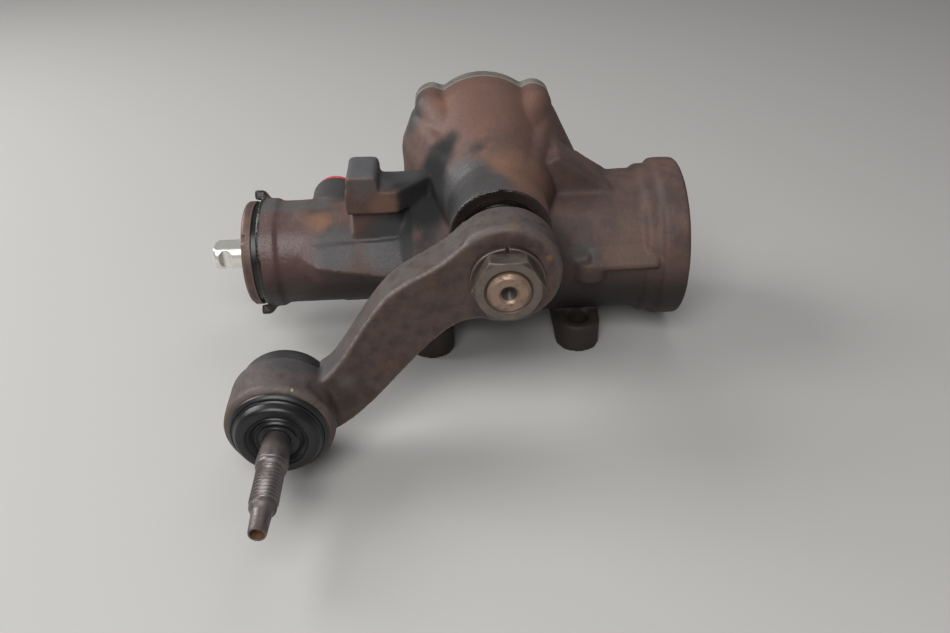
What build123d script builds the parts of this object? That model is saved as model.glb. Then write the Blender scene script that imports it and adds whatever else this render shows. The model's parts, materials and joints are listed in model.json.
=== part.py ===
from build123d import *
import math
import os

# Power steering gearbox: a worm drives a rack piston, whose teeth swing a sector on the pitman shaft.
# Lengths are in millimetres. +X runs along the worm from the input shaft to the end plug, +Y from the
# pitman arm to the side cover, +Z up from the mounting face. Shapes are drawn from the pitman axis.

# Gear set
SECTOR_TEETH = 12                # teeth that a full circle would have
SECTOR_PITCH_R = 22.5
RACK_PITCH_H = 21.5              # rack pitch line above the worm axis
PRESSURE_ANGLE = 27.0
ROOT_CLEARANCE = 0.9
BACKLASH = 0.3
CUT_TEETH = (-1, 0, 1)           # sector teeth that are really cut
WORM_LEAD = 11.2
SECTOR_WIDTH = 36.0
SECTOR_SWING = 43.0              # degrees each way
PISTON_END_ROOM = 2.1            # left between piston and housing at the end of the travel

# Axes
WORM_Z = 56.0
PITMAN_Z = WORM_Z + RACK_PITCH_H + SECTOR_PITCH_R
MODULE = 2 * SECTOR_PITCH_R / SECTOR_TEETH
RACK_TRAVEL = SECTOR_PITCH_R * math.radians(SECTOR_SWING)

# Fits
RUN = 0.05                       # radial clearance of a running fit
SEAT = 0.02                      # radial clearance of a part that is pushed home
GAP = 0.3                        # free gap between pieces that move past each other

# Cylinders of the housing, along the worm
BODY_R = 44.0
PISTON_BORE_R = 36.0
BORE_LEFT_X = -55.0
BODY_LEFT_X = -60.0
SHOULDER_X = 89.5
SHOULDER_R = 47.0
FLANGE_X = 99.0
FLANGE_R = 50.0
END_X = 115.0
END_BORE_R = 39.5
END_BORE_DEPTH = 17.0
VALVE_OUT_R = 32.5
VALVE_BORE_R = 26.0
VALVE_RIM_X = -146.1
VALVE_RIM_R = 34.5
VALVE_RIM_LENGTH = 12.2
THRUST_X = -61.0                 # step that carries the inner thrust bearing
NECK_BORE_R = 14.0
ADJUSTER_R = 28.5
ADJUSTER_BORE_X = -117.0
EAR_R = 39.5
EAR_WIDTH = 9.0
EAR_REACH = 5.0                  # the ears stand this far in front of the rim, beside the lock nut
EAR_LENGTH = 6.0
EAR_RAMP = 5.0
EAR_TURN = -30.0                 # degrees from upright
EDGE = 1.2                       # small bevel on machined rims
CAST_EDGE = 3.6                  # rounding on cast corners
BODY_SLOPE = 9.6                 # length of the cone between the two cylinders

# Sector chamber and pitman boss
COVER_Y = 50.0
COVER_X = -3.5                   # the cover's outline sits a little towards the input side
CHAMBER_BORE_R = 28.5
CHAMBER_FLOOR_Y = -20.0
CHAMBER_FLANGE = 14.0
CHAMBER_TOP_Z = 149.0
DOME_R = 40.0
BOSS_R = 28.5
BOSS_END_Y = -70.9
BOSS_ROOT_Y = -38.0
FLANK_LEFT = ((-56.5, 60.0), (-56.5, 110.0), (-47.5, 132.0))
FLANK_RIGHT = ((40.0, 132.0), (57.5, 96.0), (57.5, 60.0))
FLANK_EDGE = 9.0
LUG_R = 11.0
LUG_PITCH_X = 32.3
LUG_PITCH_Z = 32.0
LUG_ROOT_R = 13.0
LUG_ROOT_SHARE = 0.55            # how far the lugs' roots move towards the boss

# Mounting feet
FOOT_HOLE_R = 6.6
FOOT_R = 14.0
FOOT_RIGHT_X = 51.2
FOOT_LEFT_X = -42.4
FOOT_Y = 33.3
FOOT_HEIGHT = 19.0

# Port block, its post, and the ports that face the side cover's side
BLOCK_LEFT_X = -88.6
BLOCK_RIGHT_X = -38.0
BLOCK_TOP_Z = 109.4
BLOCK_BOTTOM_Z = 95.0
BLOCK_FRONT_Y = -30.0
BLOCK_BACK_Y = 0.5
BLOCK_BEVEL = 20.0               # the front corner next to the pitman boss
BLOCK_LEDGE = 5.0                # how far the block overhangs its neck
POST_LEFT_X = -87.4
POST_RIGHT_X = -68.8
POST_TOP_Z = 119.8
PORT_X = (-102.4, -71.4)
PORT_Z = 74.5
PORT_OUT_R = 15.3
PORT_R = 7.0
PORT_NEAR_Y = 8.0
PORT_FACE_Y = 38.0
PORT_DEPTH = 13.0
PORT_DUCT_R = 3.2
PORT_SEAT_WALL = 1.0
PORT_SEAT_BASE = 2.0
PORT_SEAT_H = 5.0

# Cast forms on the front of the housing
PAD_TIP_X = -124.0
PAD_LEFT_X = -109.6
PAD_RIGHT_X = -45.0
PAD_TIP = ((-20.5, 81.0), (-29.5, 69.4))          # Y and Z of the flat's upper and lower edge
PAD_LEFT = ((-27.8, 74.4), (-38.0, 64.0))
PAD_RIGHT = ((-27.8, 78.0), (-41.5, 54.0))
PAD_UNDER_Z = 48.0
PAD_UNDER_Y = -31.0
ROUND_BOSS_X = 55.5
ROUND_BOSS_Y = -39.2
ROUND_BOSS_Z = (52.5, 65.5)
ROUND_BOSS_R = 10.8
BAR_RIGHT_X = 96.2
BAR_SECTION = ((-36.0, 77.0), (-50.0, 64.5), (-50.0, 61.5), (-36.0, 58.0))
STEP_LEFT_X = -98.0
STEP_RIGHT_X = -66.0
STEP_Z = 25.5
STEP_HALF_Y = 15.0
GUSSET_X = 71.0
GUSSET_TOP_X = 38.0
GUSSET_Z = 121.0
GUSSET_HALF_Y = 16.0

# Pitman shaft
JOURNAL_R = 16.0
REAR_JOURNAL_END_Y = 48.5
TAPER_SMALL_R = 14.4
THREAD_R = 11.1
SHAFT_END_Y = -129.9
THREAD_CHAMFER = 1.8
CENTRE_DRILL_R = 5.2
SLOT_HEAD_HALF = 8.2
SLOT_HEAD_HEIGHT = 3.6
SLOT_NECK_HALF = 5.3
SLOT_LIP = 2.6

# Pitman bearing and seals, from the sector outwards
NEEDLE_OUT_R = 20.0
NEEDLE_Y = (-53.0, -27.5)
SEAL_OUT_R = 22.0
INNER_SEAL_Y = (-59.0, -54.0)
WASHER_Y = (-61.0, -59.0)
OUTER_SEAL_Y = (-66.5, -61.0)
RING_Y = (-68.2, -66.6)
RING_GROOVE_R = 23.2
RING_IN_R = 19.6
SEAL_LIP_T = 1.5

# Side cover
GASKET_T = 0.8
COVER_T = 10.0
PILOT_Y = 42.0
SPIGOT_Y = 30.0
SPIGOT_R = 23.0
BUSH_OUT_R = 19.0
BUSH_Y = (31.0, 46.0)
COVER_DOME_R = 17.0
COVER_DOME_HEIGHT = 11.0
BOLT_R = 4.76
BOLT_HEAD_AF = 14.3
BOLT_HEAD_H = 6.5
BOLT_GRIP = 11.0
LASH_R = 5.0
LASH_HEAD_R = 8.0
LASH_HEAD_H = 3.0
LASH_END_Y = 87.0
LASH_NUT_AF = 17.0
LASH_NUT_H = 6.5
LASH_HEX_AF = 5.0

# Pitman arm, its nut and washer
EYE_R = 29.0
EYE_BACK_Y = -88.0
EYE_FRONT_Y = -113.5
BALL_X = -119.9
BALL_Z = 36.1
BALL_EYE_R = 28.5
BALL_EYE_BACK_Y = -122.0
BALL_EYE_FRONT_Y = -150.5
CRANK_START_X = -25.0
CRANK_END_X = -97.0
CRANK_FRONT_Y = -135.0
CRANK_BACK_Y = -113.0
ARM_TOP = (
    (-20.0, 121.0), (-38.8, 108.4), (-58.4, 99.8), (-71.0, 87.4),
    (-81.0, 73.8), (-90.0, 62.0), (-104.0, 52.0))
ARM_BOTTOM = (
    (-104.0, 20.0), (-86.0, 25.0), (-72.0, 35.3), (-62.5, 44.1),
    (-50.0, 56.1), (-38.0, 66.2), (-12.5, 75.0))
ARM_EDGE = 2.4
WASHER_R = 19.3
WASHER_T = 4.4
WASHER_SPLIT = 1.6
NUT_AF = 33.3
NUT_H = 9.5
NUT_CHAMFER_R = 16.6

# Ball joint
BALL_Y = -136.0
STUD_BALL_R = 14.0
STUD_NECK_R = 8.4
SOCKET_BORE_R = 20.0
CAP_R = 25.5
CAP_BACK_Y = -107.5
CAP_WALL = 4.0
CAP_EDGE = 5.0
SEAT_BACK_Y = -119.0
SOCKET_LIP = 3.0                 # arm left in front of the bearing cup
SEAT_FRONT_Y = BALL_EYE_FRONT_Y + SOCKET_LIP
SPRING_OUT_R = 18.0
SPRING_IN_R = 8.0
SPRING_T = 1.6
BALL_SHELL = 2.6
STUD_LIP_Y = -155.0
STUD_FLARE = 4.0                 # length of the cone between neck and taper
STUD_SMALL_R = 6.5
STUD_BIG_R = 8.3
STUD_BIG_Y = -169.5
STUD_THREAD_R = 7.0
STUD_THREAD_CHAMFER = 1.2
STUD_THREAD_Y = (-201.5, -172.0)
STUD_TIP_R = 4.7
STUD_TIP_END_R = 4.1
STUD_TIP_Y = (-218.0, -205.0)
STUD_TIP_BORE_R = 2.9
STUD_TILT = 15.0                 # degrees each way
STUD_ROOM = 2.0                  # left beside the stud when it is tilted
BOOT_RING_R = 25.7
BOOT_REACH = 3.3                 # from the eye to the edge of the roll
BOOT_RING_Y = BALL_EYE_FRONT_Y - BOOT_REACH
BOOT_RING_T = 2.6
BOOT_WALL = 2.4
BOOT_ROLL_R = 3.0                # the roll stands this far in front of the ring
BOOT_LIP_T = 2.4

# Rack piston
PISTON_LEFT_X = BORE_LEFT_X + RACK_TRAVEL + PISTON_END_ROOM
PISTON_RIGHT_X = 74.0
RACK_FLAT_RIGHT_X = 37.0
NUT_BORE_R = 12.4
PLUG_X = 60.0
PLUG_R = 15.0
PLUG_DRIVE = 12.0
RING_X = 65.0
RING_WIDTH = 3.0
RING_DEPTH = 3.0

# Worm, balls and their return
BALL_R = 3.57
BALL_CIRCLE_R = 11.7
BALL_COUNT = 8
CIRCUIT_X = -12.0
WORM_R = 10.9
WORM_END_X = 32.0
GROOVE_X = (-36.0, 24.0)
WORM_NECK_R = 12.0
WORM_FLANGE_R = 23.5
WORM_FLANGE_T = 4.0
RACE_T = 1.5
CAGE_T = 3.0
CAGE_STEP = 1.0
GUIDE_R = 4.6
GUIDE_BORE_R = 3.8
GUIDE_REACH = 27.0
GUIDE_BEND = 4.9
POCKET_DEPTH_R = 21.0
POCKET_HALF_Y = 14.2
POCKET_MARGIN = 9.0
CLAMP_T = 1.6
CLAMP_WIDTH = 7.0
SCREW_R = 2.2
SCREW_HEAD_R = 3.4
SCREW_HEAD_H = 1.6
SCREW_DEPTH = 3.0
SCREW_Y = 10.2

# Rotary valve and input shaft
VALVE_LENGTH = 44.0
SPOOL_R = 14.5
STUB_R = 9.5
STUB_TIP_X = -179.0
STUB_FLAT_AF = 14.3
STUB_FLAT_X = -160.0
STUB_NOTCH_X = -171.0
STUB_NOTCH_R = 4.0
STUB_CHAMFER = 1.5
TONGUE_HALF = 5.0
TONGUE_SLOT_HALF = 5.95
TONGUE_LENGTH = 5.0
TORSION_R = 3.0
TORSION_SEAT_X = -46.0
GROOVE_COUNT = 3
SEAL_RING_COUNT = 4
SEAL_RING_T = 1.8
VALVE_GROOVE_DEPTH = 4.0
SEAL_RING_DEPTH = 2.0
SPOOL_GROOVE_DEPTH = 2.0

# Adjuster plug, its lock nut and the stub shaft's bearing and seals
LOCK_NUT_X = (-155.3, -149.2)
LOCK_NUT_R = 33.0
LOCK_NUT_NOTCHES = 4
LOCK_NUT_NOTCH = 5.0
PLUG_FACE_X = -153.0
SPANNER_HOLES = 2
SPANNER_R = 3.0
SPANNER_PCR = 21.5
STUB_BEARING_R = 13.0
STUB_BEARING_X = (-128.0, -119.5)
STUB_SEAL_R = 15.5
STUB_SEAL_X = (-137.5, -130.0)
DUST_SEAL_X = (-144.0, -139.0)
STUB_RING_X = (-146.4, -144.8)
STUB_RING_GROOVE_R = 16.6
STUB_RING_IN_R = 13.0
ADJUSTER_SEAL_R = 31.5

# End plug
END_PLUG_T = 9.0
END_RING_X = (108.0, 110.4)
END_RING_R = 41.6
END_RING_IN_R = 36.0
RING_OPENING = 14.0
SMALL_RING_OPENING = 7.0
DISH_R = 28.0
DISH_DEPTH = 3.0
O_RING_R = 1.6
CAP_FLANGE_R = 14.5
CAP_FLANGE_T = 2.2
CAP_DISH_R = 5.0
CAP_DISH_DEPTH = 3.5

FOOT_MID_X = (FOOT_RIGHT_X + FOOT_LEFT_X) / 2
CIRCUIT_END_X = CIRCUIT_X + WORM_LEAD
WORM_PLANE = Plane(origin=(0, 0, WORM_Z), x_dir=(1, 0, 0), z_dir=(0, -1, 0))
PITMAN_PLANE = Plane(origin=(0, 0, PITMAN_Z), x_dir=(0, 1, 0), z_dir=(1, 0, 0))
BALL_PLANE = Plane(origin=(BALL_X, 0, BALL_Z), x_dir=(0, 1, 0), z_dir=(1, 0, 0))


def save(node, shape):
    """Write one piece, moved so that the middle of the mounting holes is at the origin."""
    export_step(Pos(-FOOT_MID_X, 0, 0) * shape, f"parts/{node}.step")


def turned(plane, points):
    """Revolve (station, radius) points about the plane's own X direction."""
    face = plane * make_face(Polyline(*points, close=True))
    return revolve(face, Axis(plane.origin, plane.x_dir))


def tube(plane, start, end, outer, inner=0.0):
    """A straight tube or bar about the plane's X direction."""
    return turned(plane, ((start, inner), (end, inner), (end, outer), (start, outer)))


def block(x_range, y_range, z_range):
    """A box between two limits along each axis."""
    low = (x_range[0], y_range[0], z_range[0])
    size = (x_range[1] - x_range[0], y_range[1] - y_range[0], z_range[1] - z_range[0])
    return Pos(*low) * Box(*size, align=(Align.MIN, Align.MIN, Align.MIN))


def upright(x, y, z_range, radius):
    """A vertical cylinder."""
    standing = (Align.CENTER, Align.CENTER, Align.MIN)
    return Pos(x, y, z_range[0]) * Cylinder(radius, z_range[1] - z_range[0], align=standing)


def along_y(x, z, y_range, radius):
    """A cylinder whose axis runs along Y."""
    return tube(Plane(origin=(x, 0, z), x_dir=(0, 1, 0), z_dir=(1, 0, 0)), y_range[0], y_range[1], radius)


def slab(outline, y_range):
    """An outline in X and Z, made solid between two places in Y."""
    plane = Plane(origin=(0, y_range[1], 0), x_dir=(1, 0, 0), z_dir=(0, -1, 0))
    return extrude(plane * make_face(Polyline(*outline, close=True)), y_range[1] - y_range[0])


def along_x(section, x_range):
    """A section in Y and Z, made solid between two places in X."""
    plane = Plane(origin=(x_range[0], 0, 0), x_dir=(0, 1, 0), z_dir=(1, 0, 0))
    return extrude(plane * make_face(Polyline(*section, close=True)), x_range[1] - x_range[0])


def hexagon(x, z, y_range, across_flats):
    """A hexagon bar along Y with a flat on top."""
    plane = Plane(origin=(x, y_range[1], z), x_dir=(1, 0, 0), z_dir=(0, -1, 0))
    sketch = plane * RegularPolygon(across_flats / 2, 6, major_radius=False)
    return extrude(sketch, y_range[1] - y_range[0])


def cover_bolt_places():
    """X and Z of the four side-cover bolts."""
    return [(COVER_X + sx * LUG_PITCH_X, PITMAN_Z + sz * LUG_PITCH_Z) for sx in (-1, 1) for sz in (-1, 1)]


def foot_places():
    """X and Y of the four mounting holes."""
    return [(x, y) for x in (FOOT_LEFT_X, FOOT_RIGHT_X) for y in (-FOOT_Y, FOOT_Y)]


def valve_casing():
    """The slim end of the housing, with its rim and the two cast ears."""
    casing = turned(WORM_PLANE, (
        (VALVE_RIM_X, 0), (BODY_LEFT_X, 0), (BODY_LEFT_X, VALVE_OUT_R),
        (VALVE_RIM_X + VALVE_RIM_LENGTH, VALVE_OUT_R),
        (VALVE_RIM_X + VALVE_RIM_LENGTH - EDGE, VALVE_RIM_R), (VALVE_RIM_X, VALVE_RIM_R)))
    tip_x = VALVE_RIM_X - EAR_REACH
    ramp_x = tip_x + EAR_LENGTH + EAR_RAMP
    inside = LOCK_NUT_R + 2 * GAP
    for side in (-1, 1):
        outline = (
            (VALVE_RIM_X, WORM_Z), (VALVE_RIM_X, WORM_Z + side * inside), (tip_x, WORM_Z + side * inside),
            (tip_x, WORM_Z + side * EAR_R), (tip_x + EAR_LENGTH, WORM_Z + side * EAR_R),
            (ramp_x, WORM_Z + side * VALVE_OUT_R), (ramp_x, WORM_Z))
        ear = slab(outline, (-EAR_WIDTH / 2, EAR_WIDTH / 2))
        casing += ear.rotate(Axis((0, 0, WORM_Z), (1, 0, 0)), EAR_TURN)
    return casing


def piston_casing():
    """The wide end of the housing, with its shoulder, end flange, round boss and bar."""
    casing = turned(WORM_PLANE, (
        (BODY_LEFT_X, 0), (END_X, 0), (END_X, FLANGE_R - EDGE), (END_X - EDGE, FLANGE_R),
        (FLANGE_X + EDGE, FLANGE_R), (FLANGE_X, FLANGE_R - EDGE), (FLANGE_X, SHOULDER_R),
        (SHOULDER_X + EDGE, SHOULDER_R), (SHOULDER_X - EDGE, BODY_R), (BODY_LEFT_X + BODY_SLOPE, BODY_R),
        (BODY_LEFT_X, VALVE_OUT_R)))
    casing += upright(ROUND_BOSS_X, ROUND_BOSS_Y, ROUND_BOSS_Z, ROUND_BOSS_R)
    return casing + along_x(BAR_SECTION, (ROUND_BOSS_X, BAR_RIGHT_X))


def sector_casing():
    """The chamber round the sector: flanks, dome and cover lugs, all drawn in to the pitman boss."""
    facing = Plane(origin=(0, 0, 0), x_dir=(1, 0, 0), z_dir=(0, -1, 0))
    root = facing.offset(CHAMBER_FLANGE - COVER_Y)
    tip = facing.offset(-BOSS_ROOT_Y)
    flanks = make_face(Polyline(*FLANK_LEFT, *FLANK_RIGHT, close=True))
    flanks = fillet(flanks.vertices(), FLANK_EDGE)
    dome = Pos(COVER_X, CHAMBER_TOP_Z - DOME_R) * Circle(DOME_R)
    boss = Pos(0, PITMAN_Z) * Circle(BOSS_R)
    shell = tube(PITMAN_PLANE, BOSS_END_Y, BOSS_ROOT_Y, BOSS_R)
    for outline in (flanks, dome):
        shell += extrude(root * outline, -CHAMBER_FLANGE)
        shell += loft([(root * outline).face(), (tip * boss).face()])
    for x, z in cover_bolt_places():
        lug = Pos(x, z) * Circle(LUG_R)
        lug_root = Pos(x * (1 - LUG_ROOT_SHARE), z + (PITMAN_Z - z) * LUG_ROOT_SHARE) * Circle(LUG_ROOT_R)
        shell += extrude(root * lug, -CHAMBER_FLANGE)
        shell += loft([(root * lug).face(), (facing * lug_root).face()])
    gusset = (
        (0, PITMAN_Z), (GUSSET_TOP_X, GUSSET_Z), (GUSSET_X, WORM_Z + BODY_R - EDGE), (GUSSET_X, WORM_Z))
    return shell + slab(gusset, (-GUSSET_HALF_Y, GUSSET_HALF_Y))


def block_plan(inset, z_range):
    """The port block's plan, drawn in by an inset and made solid between two heights."""
    left = BLOCK_LEFT_X + inset / 2
    front = BLOCK_FRONT_Y + inset
    plan = (
        (left, BLOCK_BACK_Y), (left, front), (BLOCK_RIGHT_X - BLOCK_BEVEL, front),
        (BLOCK_RIGHT_X, front + BLOCK_BEVEL), (BLOCK_RIGHT_X, BLOCK_BACK_Y))
    return Pos(0, 0, z_range[0]) * extrude(make_face(Polyline(*plan, close=True)), z_range[1] - z_range[0])


def front_pad():
    """The flat on the front: it leaves the valve cylinder as a tangent and ends in a ridge."""
    sections = []
    for x, edges in ((PAD_TIP_X, PAD_TIP), (PAD_LEFT_X, PAD_LEFT), (PAD_RIGHT_X, PAD_RIGHT)):
        plane = Plane(origin=(x, 0, 0), x_dir=(0, 1, 0), z_dir=(1, 0, 0))
        outline = (*edges, (PAD_UNDER_Y, PAD_UNDER_Z), (0, WORM_Z))
        sections.append((plane * make_face(Polyline(*outline, close=True))).face())
    return loft(sections[:2], ruled=True) + loft(sections[1:], ruled=True)


def port_casing():
    """The port block with its post and neck, the flat pad on the front and the two hose bosses."""
    casing = block_plan(0, (BLOCK_BOTTOM_Z, BLOCK_TOP_Z)) + block_plan(BLOCK_LEDGE, (WORM_Z, BLOCK_TOP_Z))
    post = block((POST_LEFT_X, POST_RIGHT_X), (BLOCK_FRONT_Y, BLOCK_BACK_Y), (BLOCK_BOTTOM_Z, POST_TOP_Z))
    casing += fillet(post.edges().filter_by(Axis.Y).group_by(Axis.Z)[-1], CAST_EDGE)
    casing += front_pad()
    casing += block((STEP_LEFT_X, STEP_RIGHT_X), (-STEP_HALF_Y, STEP_HALF_Y), (STEP_Z, WORM_Z))
    for x in PORT_X:
        casing += along_y(x, PORT_Z, (PORT_NEAR_Y, PORT_FACE_Y), PORT_OUT_R)
    return casing


def feet():
    """Two saddles under the piston casing, each with a mounting boss at both ends."""
    saddles = []
    for x in (FOOT_LEFT_X, FOOT_RIGHT_X):
        saddle = block((x - FOOT_R, x + FOOT_R), (-FOOT_Y, FOOT_Y), (0, FOOT_HEIGHT))
        for y in (-FOOT_Y, FOOT_Y):
            saddle += upright(x, y, (0, FOOT_HEIGHT), FOOT_R)
        saddles.append(saddle)
    return saddles[0] + saddles[1]


def housing_bores():
    """Everything that is machined out of the casting."""
    cuts = [
        tube(WORM_PLANE, BORE_LEFT_X, END_X - END_BORE_DEPTH, PISTON_BORE_R),
        tube(WORM_PLANE, END_X - END_BORE_DEPTH, END_X, END_BORE_R),
        tube(WORM_PLANE, END_RING_X[0], END_RING_X[1], END_RING_R + SEAT),
        tube(WORM_PLANE, THRUST_X, BORE_LEFT_X, NECK_BORE_R),
        tube(WORM_PLANE, ADJUSTER_BORE_X, THRUST_X, VALVE_BORE_R),
        tube(WORM_PLANE, VALVE_RIM_X, ADJUSTER_BORE_X, ADJUSTER_R),
        tube(PITMAN_PLANE, CHAMBER_FLOOR_Y, COVER_Y, CHAMBER_BORE_R),
        tube(PITMAN_PLANE, NEEDLE_Y[0], CHAMBER_FLOOR_Y, NEEDLE_OUT_R),
        tube(PITMAN_PLANE, INNER_SEAL_Y[1], NEEDLE_Y[0], JOURNAL_R + 2 * GAP),
        tube(PITMAN_PLANE, BOSS_END_Y, INNER_SEAL_Y[1], SEAL_OUT_R),
        tube(PITMAN_PLANE, RING_Y[0], RING_Y[1], RING_GROOVE_R + SEAT),
    ]
    for x, z in cover_bolt_places():
        cuts.append(along_y(x, z, (COVER_Y - BOLT_GRIP - EDGE, COVER_Y), BOLT_R + SEAT))
    for x, y in foot_places():
        cuts.append(upright(x, y, (0, FOOT_HEIGHT), FOOT_HOLE_R))
    for x in PORT_X:
        cuts.append(along_y(x, PORT_Z, (PORT_FACE_Y - PORT_DEPTH, PORT_FACE_Y), PORT_R))
        cuts.append(along_y(x, PORT_Z, (0, PORT_FACE_Y - PORT_DEPTH), PORT_DUCT_R))
    return cuts


def housing():
    """The cast housing: its outer forms joined, then bored."""
    body = valve_casing() + piston_casing() + sector_casing() + port_casing() + feet()
    for cut in housing_bores():
        body -= cut
    return body


def side_cover_outline(y_range):
    """The flange that the housing and the cover share."""
    plate = along_y(COVER_X, PITMAN_Z, y_range, DOME_R)
    plate += along_y(COVER_X, CHAMBER_TOP_Z - DOME_R, y_range, DOME_R)
    for x, z in cover_bolt_places():
        plate += along_y(x, z, y_range, LUG_R)
        plate -= along_y(x, z, y_range, BOLT_R + RUN)
    return plate


def side_cover_gasket():
    """Gasket between the housing and the side cover."""
    return side_cover_outline((COVER_Y, COVER_Y + GASKET_T)) - tube(
        PITMAN_PLANE, COVER_Y, COVER_Y + GASKET_T, CHAMBER_BORE_R)


def side_cover():
    """Cover with a spigot round the rear bushing and a boss for the lash adjuster."""
    inside = COVER_Y + GASKET_T
    outside = inside + COVER_T
    cover = side_cover_outline((inside, outside))
    cover += tube(PITMAN_PLANE, PILOT_Y, inside, CHAMBER_BORE_R - RUN)
    cover += tube(PITMAN_PLANE, SPIGOT_Y, PILOT_Y, SPIGOT_R)
    cover += turned(PITMAN_PLANE, (
        (outside, 0), (outside, COVER_DOME_R + 2 * EDGE), (outside + COVER_DOME_HEIGHT - EDGE, COVER_DOME_R),
        (outside + COVER_DOME_HEIGHT, COVER_DOME_R - EDGE), (outside + COVER_DOME_HEIGHT, 0)))
    cover -= tube(PITMAN_PLANE, SPIGOT_Y, REAR_JOURNAL_END_Y + GAP + EDGE, BUSH_OUT_R)
    return cover - tube(PITMAN_PLANE, SPIGOT_Y, outside + COVER_DOME_HEIGHT, LASH_R + SEAT)


def cover_bushing():
    """Bushing in the side cover's spigot, for the shaft's rear journal."""
    return tube(PITMAN_PLANE, BUSH_Y[0], BUSH_Y[1], BUSH_OUT_R - SEAT, JOURNAL_R + RUN)


def cover_bolts():
    """Four hexagon bolts that hold the side cover."""
    seat = COVER_Y + GASKET_T + COVER_T
    bolts = []
    for x, z in cover_bolt_places():
        bolt = along_y(x, z, (COVER_Y - BOLT_GRIP, seat), BOLT_R)
        bolts.append(bolt + hexagon(x, z, (seat, seat + BOLT_HEAD_H), BOLT_HEAD_AF))
    return Compound(bolts)


def lash_adjuster_screw():
    """Screw whose round head sits in the slot in the pitman shaft's end."""
    head_y = REAR_JOURNAL_END_Y - SLOT_LIP - SLOT_HEAD_HEIGHT + GAP
    screw = tube(PITMAN_PLANE, head_y, LASH_END_Y, LASH_R)
    screw += tube(PITMAN_PLANE, head_y, head_y + LASH_HEAD_H, LASH_HEAD_R)
    return screw - hexagon(0, PITMAN_Z, (LASH_END_Y - LASH_NUT_H, LASH_END_Y), LASH_HEX_AF)


def lash_adjuster_nut():
    """Lock nut on the adjuster screw."""
    seat = COVER_Y + GASKET_T + COVER_T + COVER_DOME_HEIGHT
    return hexagon(0, PITMAN_Z, (seat, seat + LASH_NUT_H), LASH_NUT_AF) - tube(
        PITMAN_PLANE, seat, seat + LASH_NUT_H, LASH_R + SEAT)


def involute(base_r, radius):
    """Angle that the involute of base_r has turned at a radius."""
    roll = math.sqrt((radius / base_r) ** 2 - 1)
    return roll - math.atan(roll)


def sector_tooth(angle):
    """One involute tooth of the sector, pointing down at angle 0."""
    pressure = math.radians(PRESSURE_ANGLE)
    base_r = SECTOR_PITCH_R * math.cos(pressure)
    tip_r = SECTOR_PITCH_R + MODULE
    half_pitch = (math.pi * MODULE / 2 - BACKLASH) / (2 * SECTOR_PITCH_R)
    at_base = half_pitch + involute(base_r, SECTOR_PITCH_R)
    radii = [base_r + (tip_r - base_r) * step / 4 for step in range(5)]
    flank = [(at_base - involute(base_r, r), r) for r in radii]
    right = [(r * math.sin(a), -r * math.cos(a)) for a, r in flank]
    left = [(-x, z) for x, z in right]
    hub = JOURNAL_R - EDGE
    root = (hub * math.sin(at_base), -hub * math.cos(at_base))
    edges = [
        Spline(*right), ThreePointArc(right[-1], (0, -tip_r), left[-1]), Spline(*left[::-1]),
        Line(left[0], (-root[0], root[1])), Line((-root[0], root[1]), root), Line(root, right[0])]
    plane = Plane(origin=(0, SECTOR_WIDTH / 2, PITMAN_Z), x_dir=(1, 0, 0), z_dir=(0, -1, 0))
    tooth = extrude(plane * make_face(edges), SECTOR_WIDTH)
    return tooth.rotate(Axis((0, 0, PITMAN_Z), (0, 1, 0)), angle)


def pitman_shaft():
    """Shaft with its sector teeth, tapered seat for the arm, thread and adjuster slot."""
    root_r = SECTOR_PITCH_R - MODULE - ROOT_CLEARANCE
    half = SECTOR_WIDTH / 2
    shaft = turned(PITMAN_PLANE, (
        (REAR_JOURNAL_END_Y, 0), (REAR_JOURNAL_END_Y, JOURNAL_R - EDGE),
        (REAR_JOURNAL_END_Y - EDGE, JOURNAL_R),
        (half, JOURNAL_R), (half, root_r), (-half, root_r), (-half, JOURNAL_R), (EYE_BACK_Y, JOURNAL_R),
        (EYE_FRONT_Y, TAPER_SMALL_R), (EYE_FRONT_Y, THREAD_R), (SHAFT_END_Y + THREAD_CHAMFER, THREAD_R),
        (SHAFT_END_Y, THREAD_R - THREAD_CHAMFER), (SHAFT_END_Y, CENTRE_DRILL_R),
        (SHAFT_END_Y + CENTRE_DRILL_R, 0)))
    for index in CUT_TEETH:
        shaft += sector_tooth(index * 360 / SECTOR_TEETH)
    lip_y = REAR_JOURNAL_END_Y - SLOT_LIP
    shaft -= block((-SLOT_NECK_HALF, JOURNAL_R), (lip_y, REAR_JOURNAL_END_Y),
                   (PITMAN_Z - SLOT_NECK_HALF, PITMAN_Z + SLOT_NECK_HALF))
    shaft -= block((-SLOT_HEAD_HALF, JOURNAL_R), (lip_y - SLOT_HEAD_HEIGHT, lip_y),
                   (PITMAN_Z - SLOT_HEAD_HALF, PITMAN_Z + SLOT_HEAD_HALF))
    return shaft


def pitman_needle_bearing():
    """Bearing sleeve for the front journal."""
    return tube(PITMAN_PLANE, NEEDLE_Y[0], NEEDLE_Y[1], NEEDLE_OUT_R - SEAT, JOURNAL_R + RUN)


def pitman_inner_seal():
    """Oil seal next to the bearing."""
    return tube(PITMAN_PLANE, INNER_SEAL_Y[0], INNER_SEAL_Y[1], SEAL_OUT_R - SEAT, JOURNAL_R + RUN)


def pitman_backup_washer():
    """Washer between the two seals."""
    return tube(PITMAN_PLANE, WASHER_Y[0], WASHER_Y[1], SEAL_OUT_R - SEAT, JOURNAL_R + GAP)


def pitman_outer_seal():
    """Dust seal with a raised lip round the shaft."""
    start, end = OUTER_SEAL_Y
    return turned(PITMAN_PLANE, (
        (end, JOURNAL_R + RUN), (end, SEAL_OUT_R - SEAT), (start, SEAL_OUT_R - SEAT),
        (start, JOURNAL_R + 2 * SEAL_LIP_T), (start - SEAL_LIP_T, JOURNAL_R + SEAL_LIP_T),
        (start - SEAL_LIP_T, JOURNAL_R + RUN)))


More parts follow.
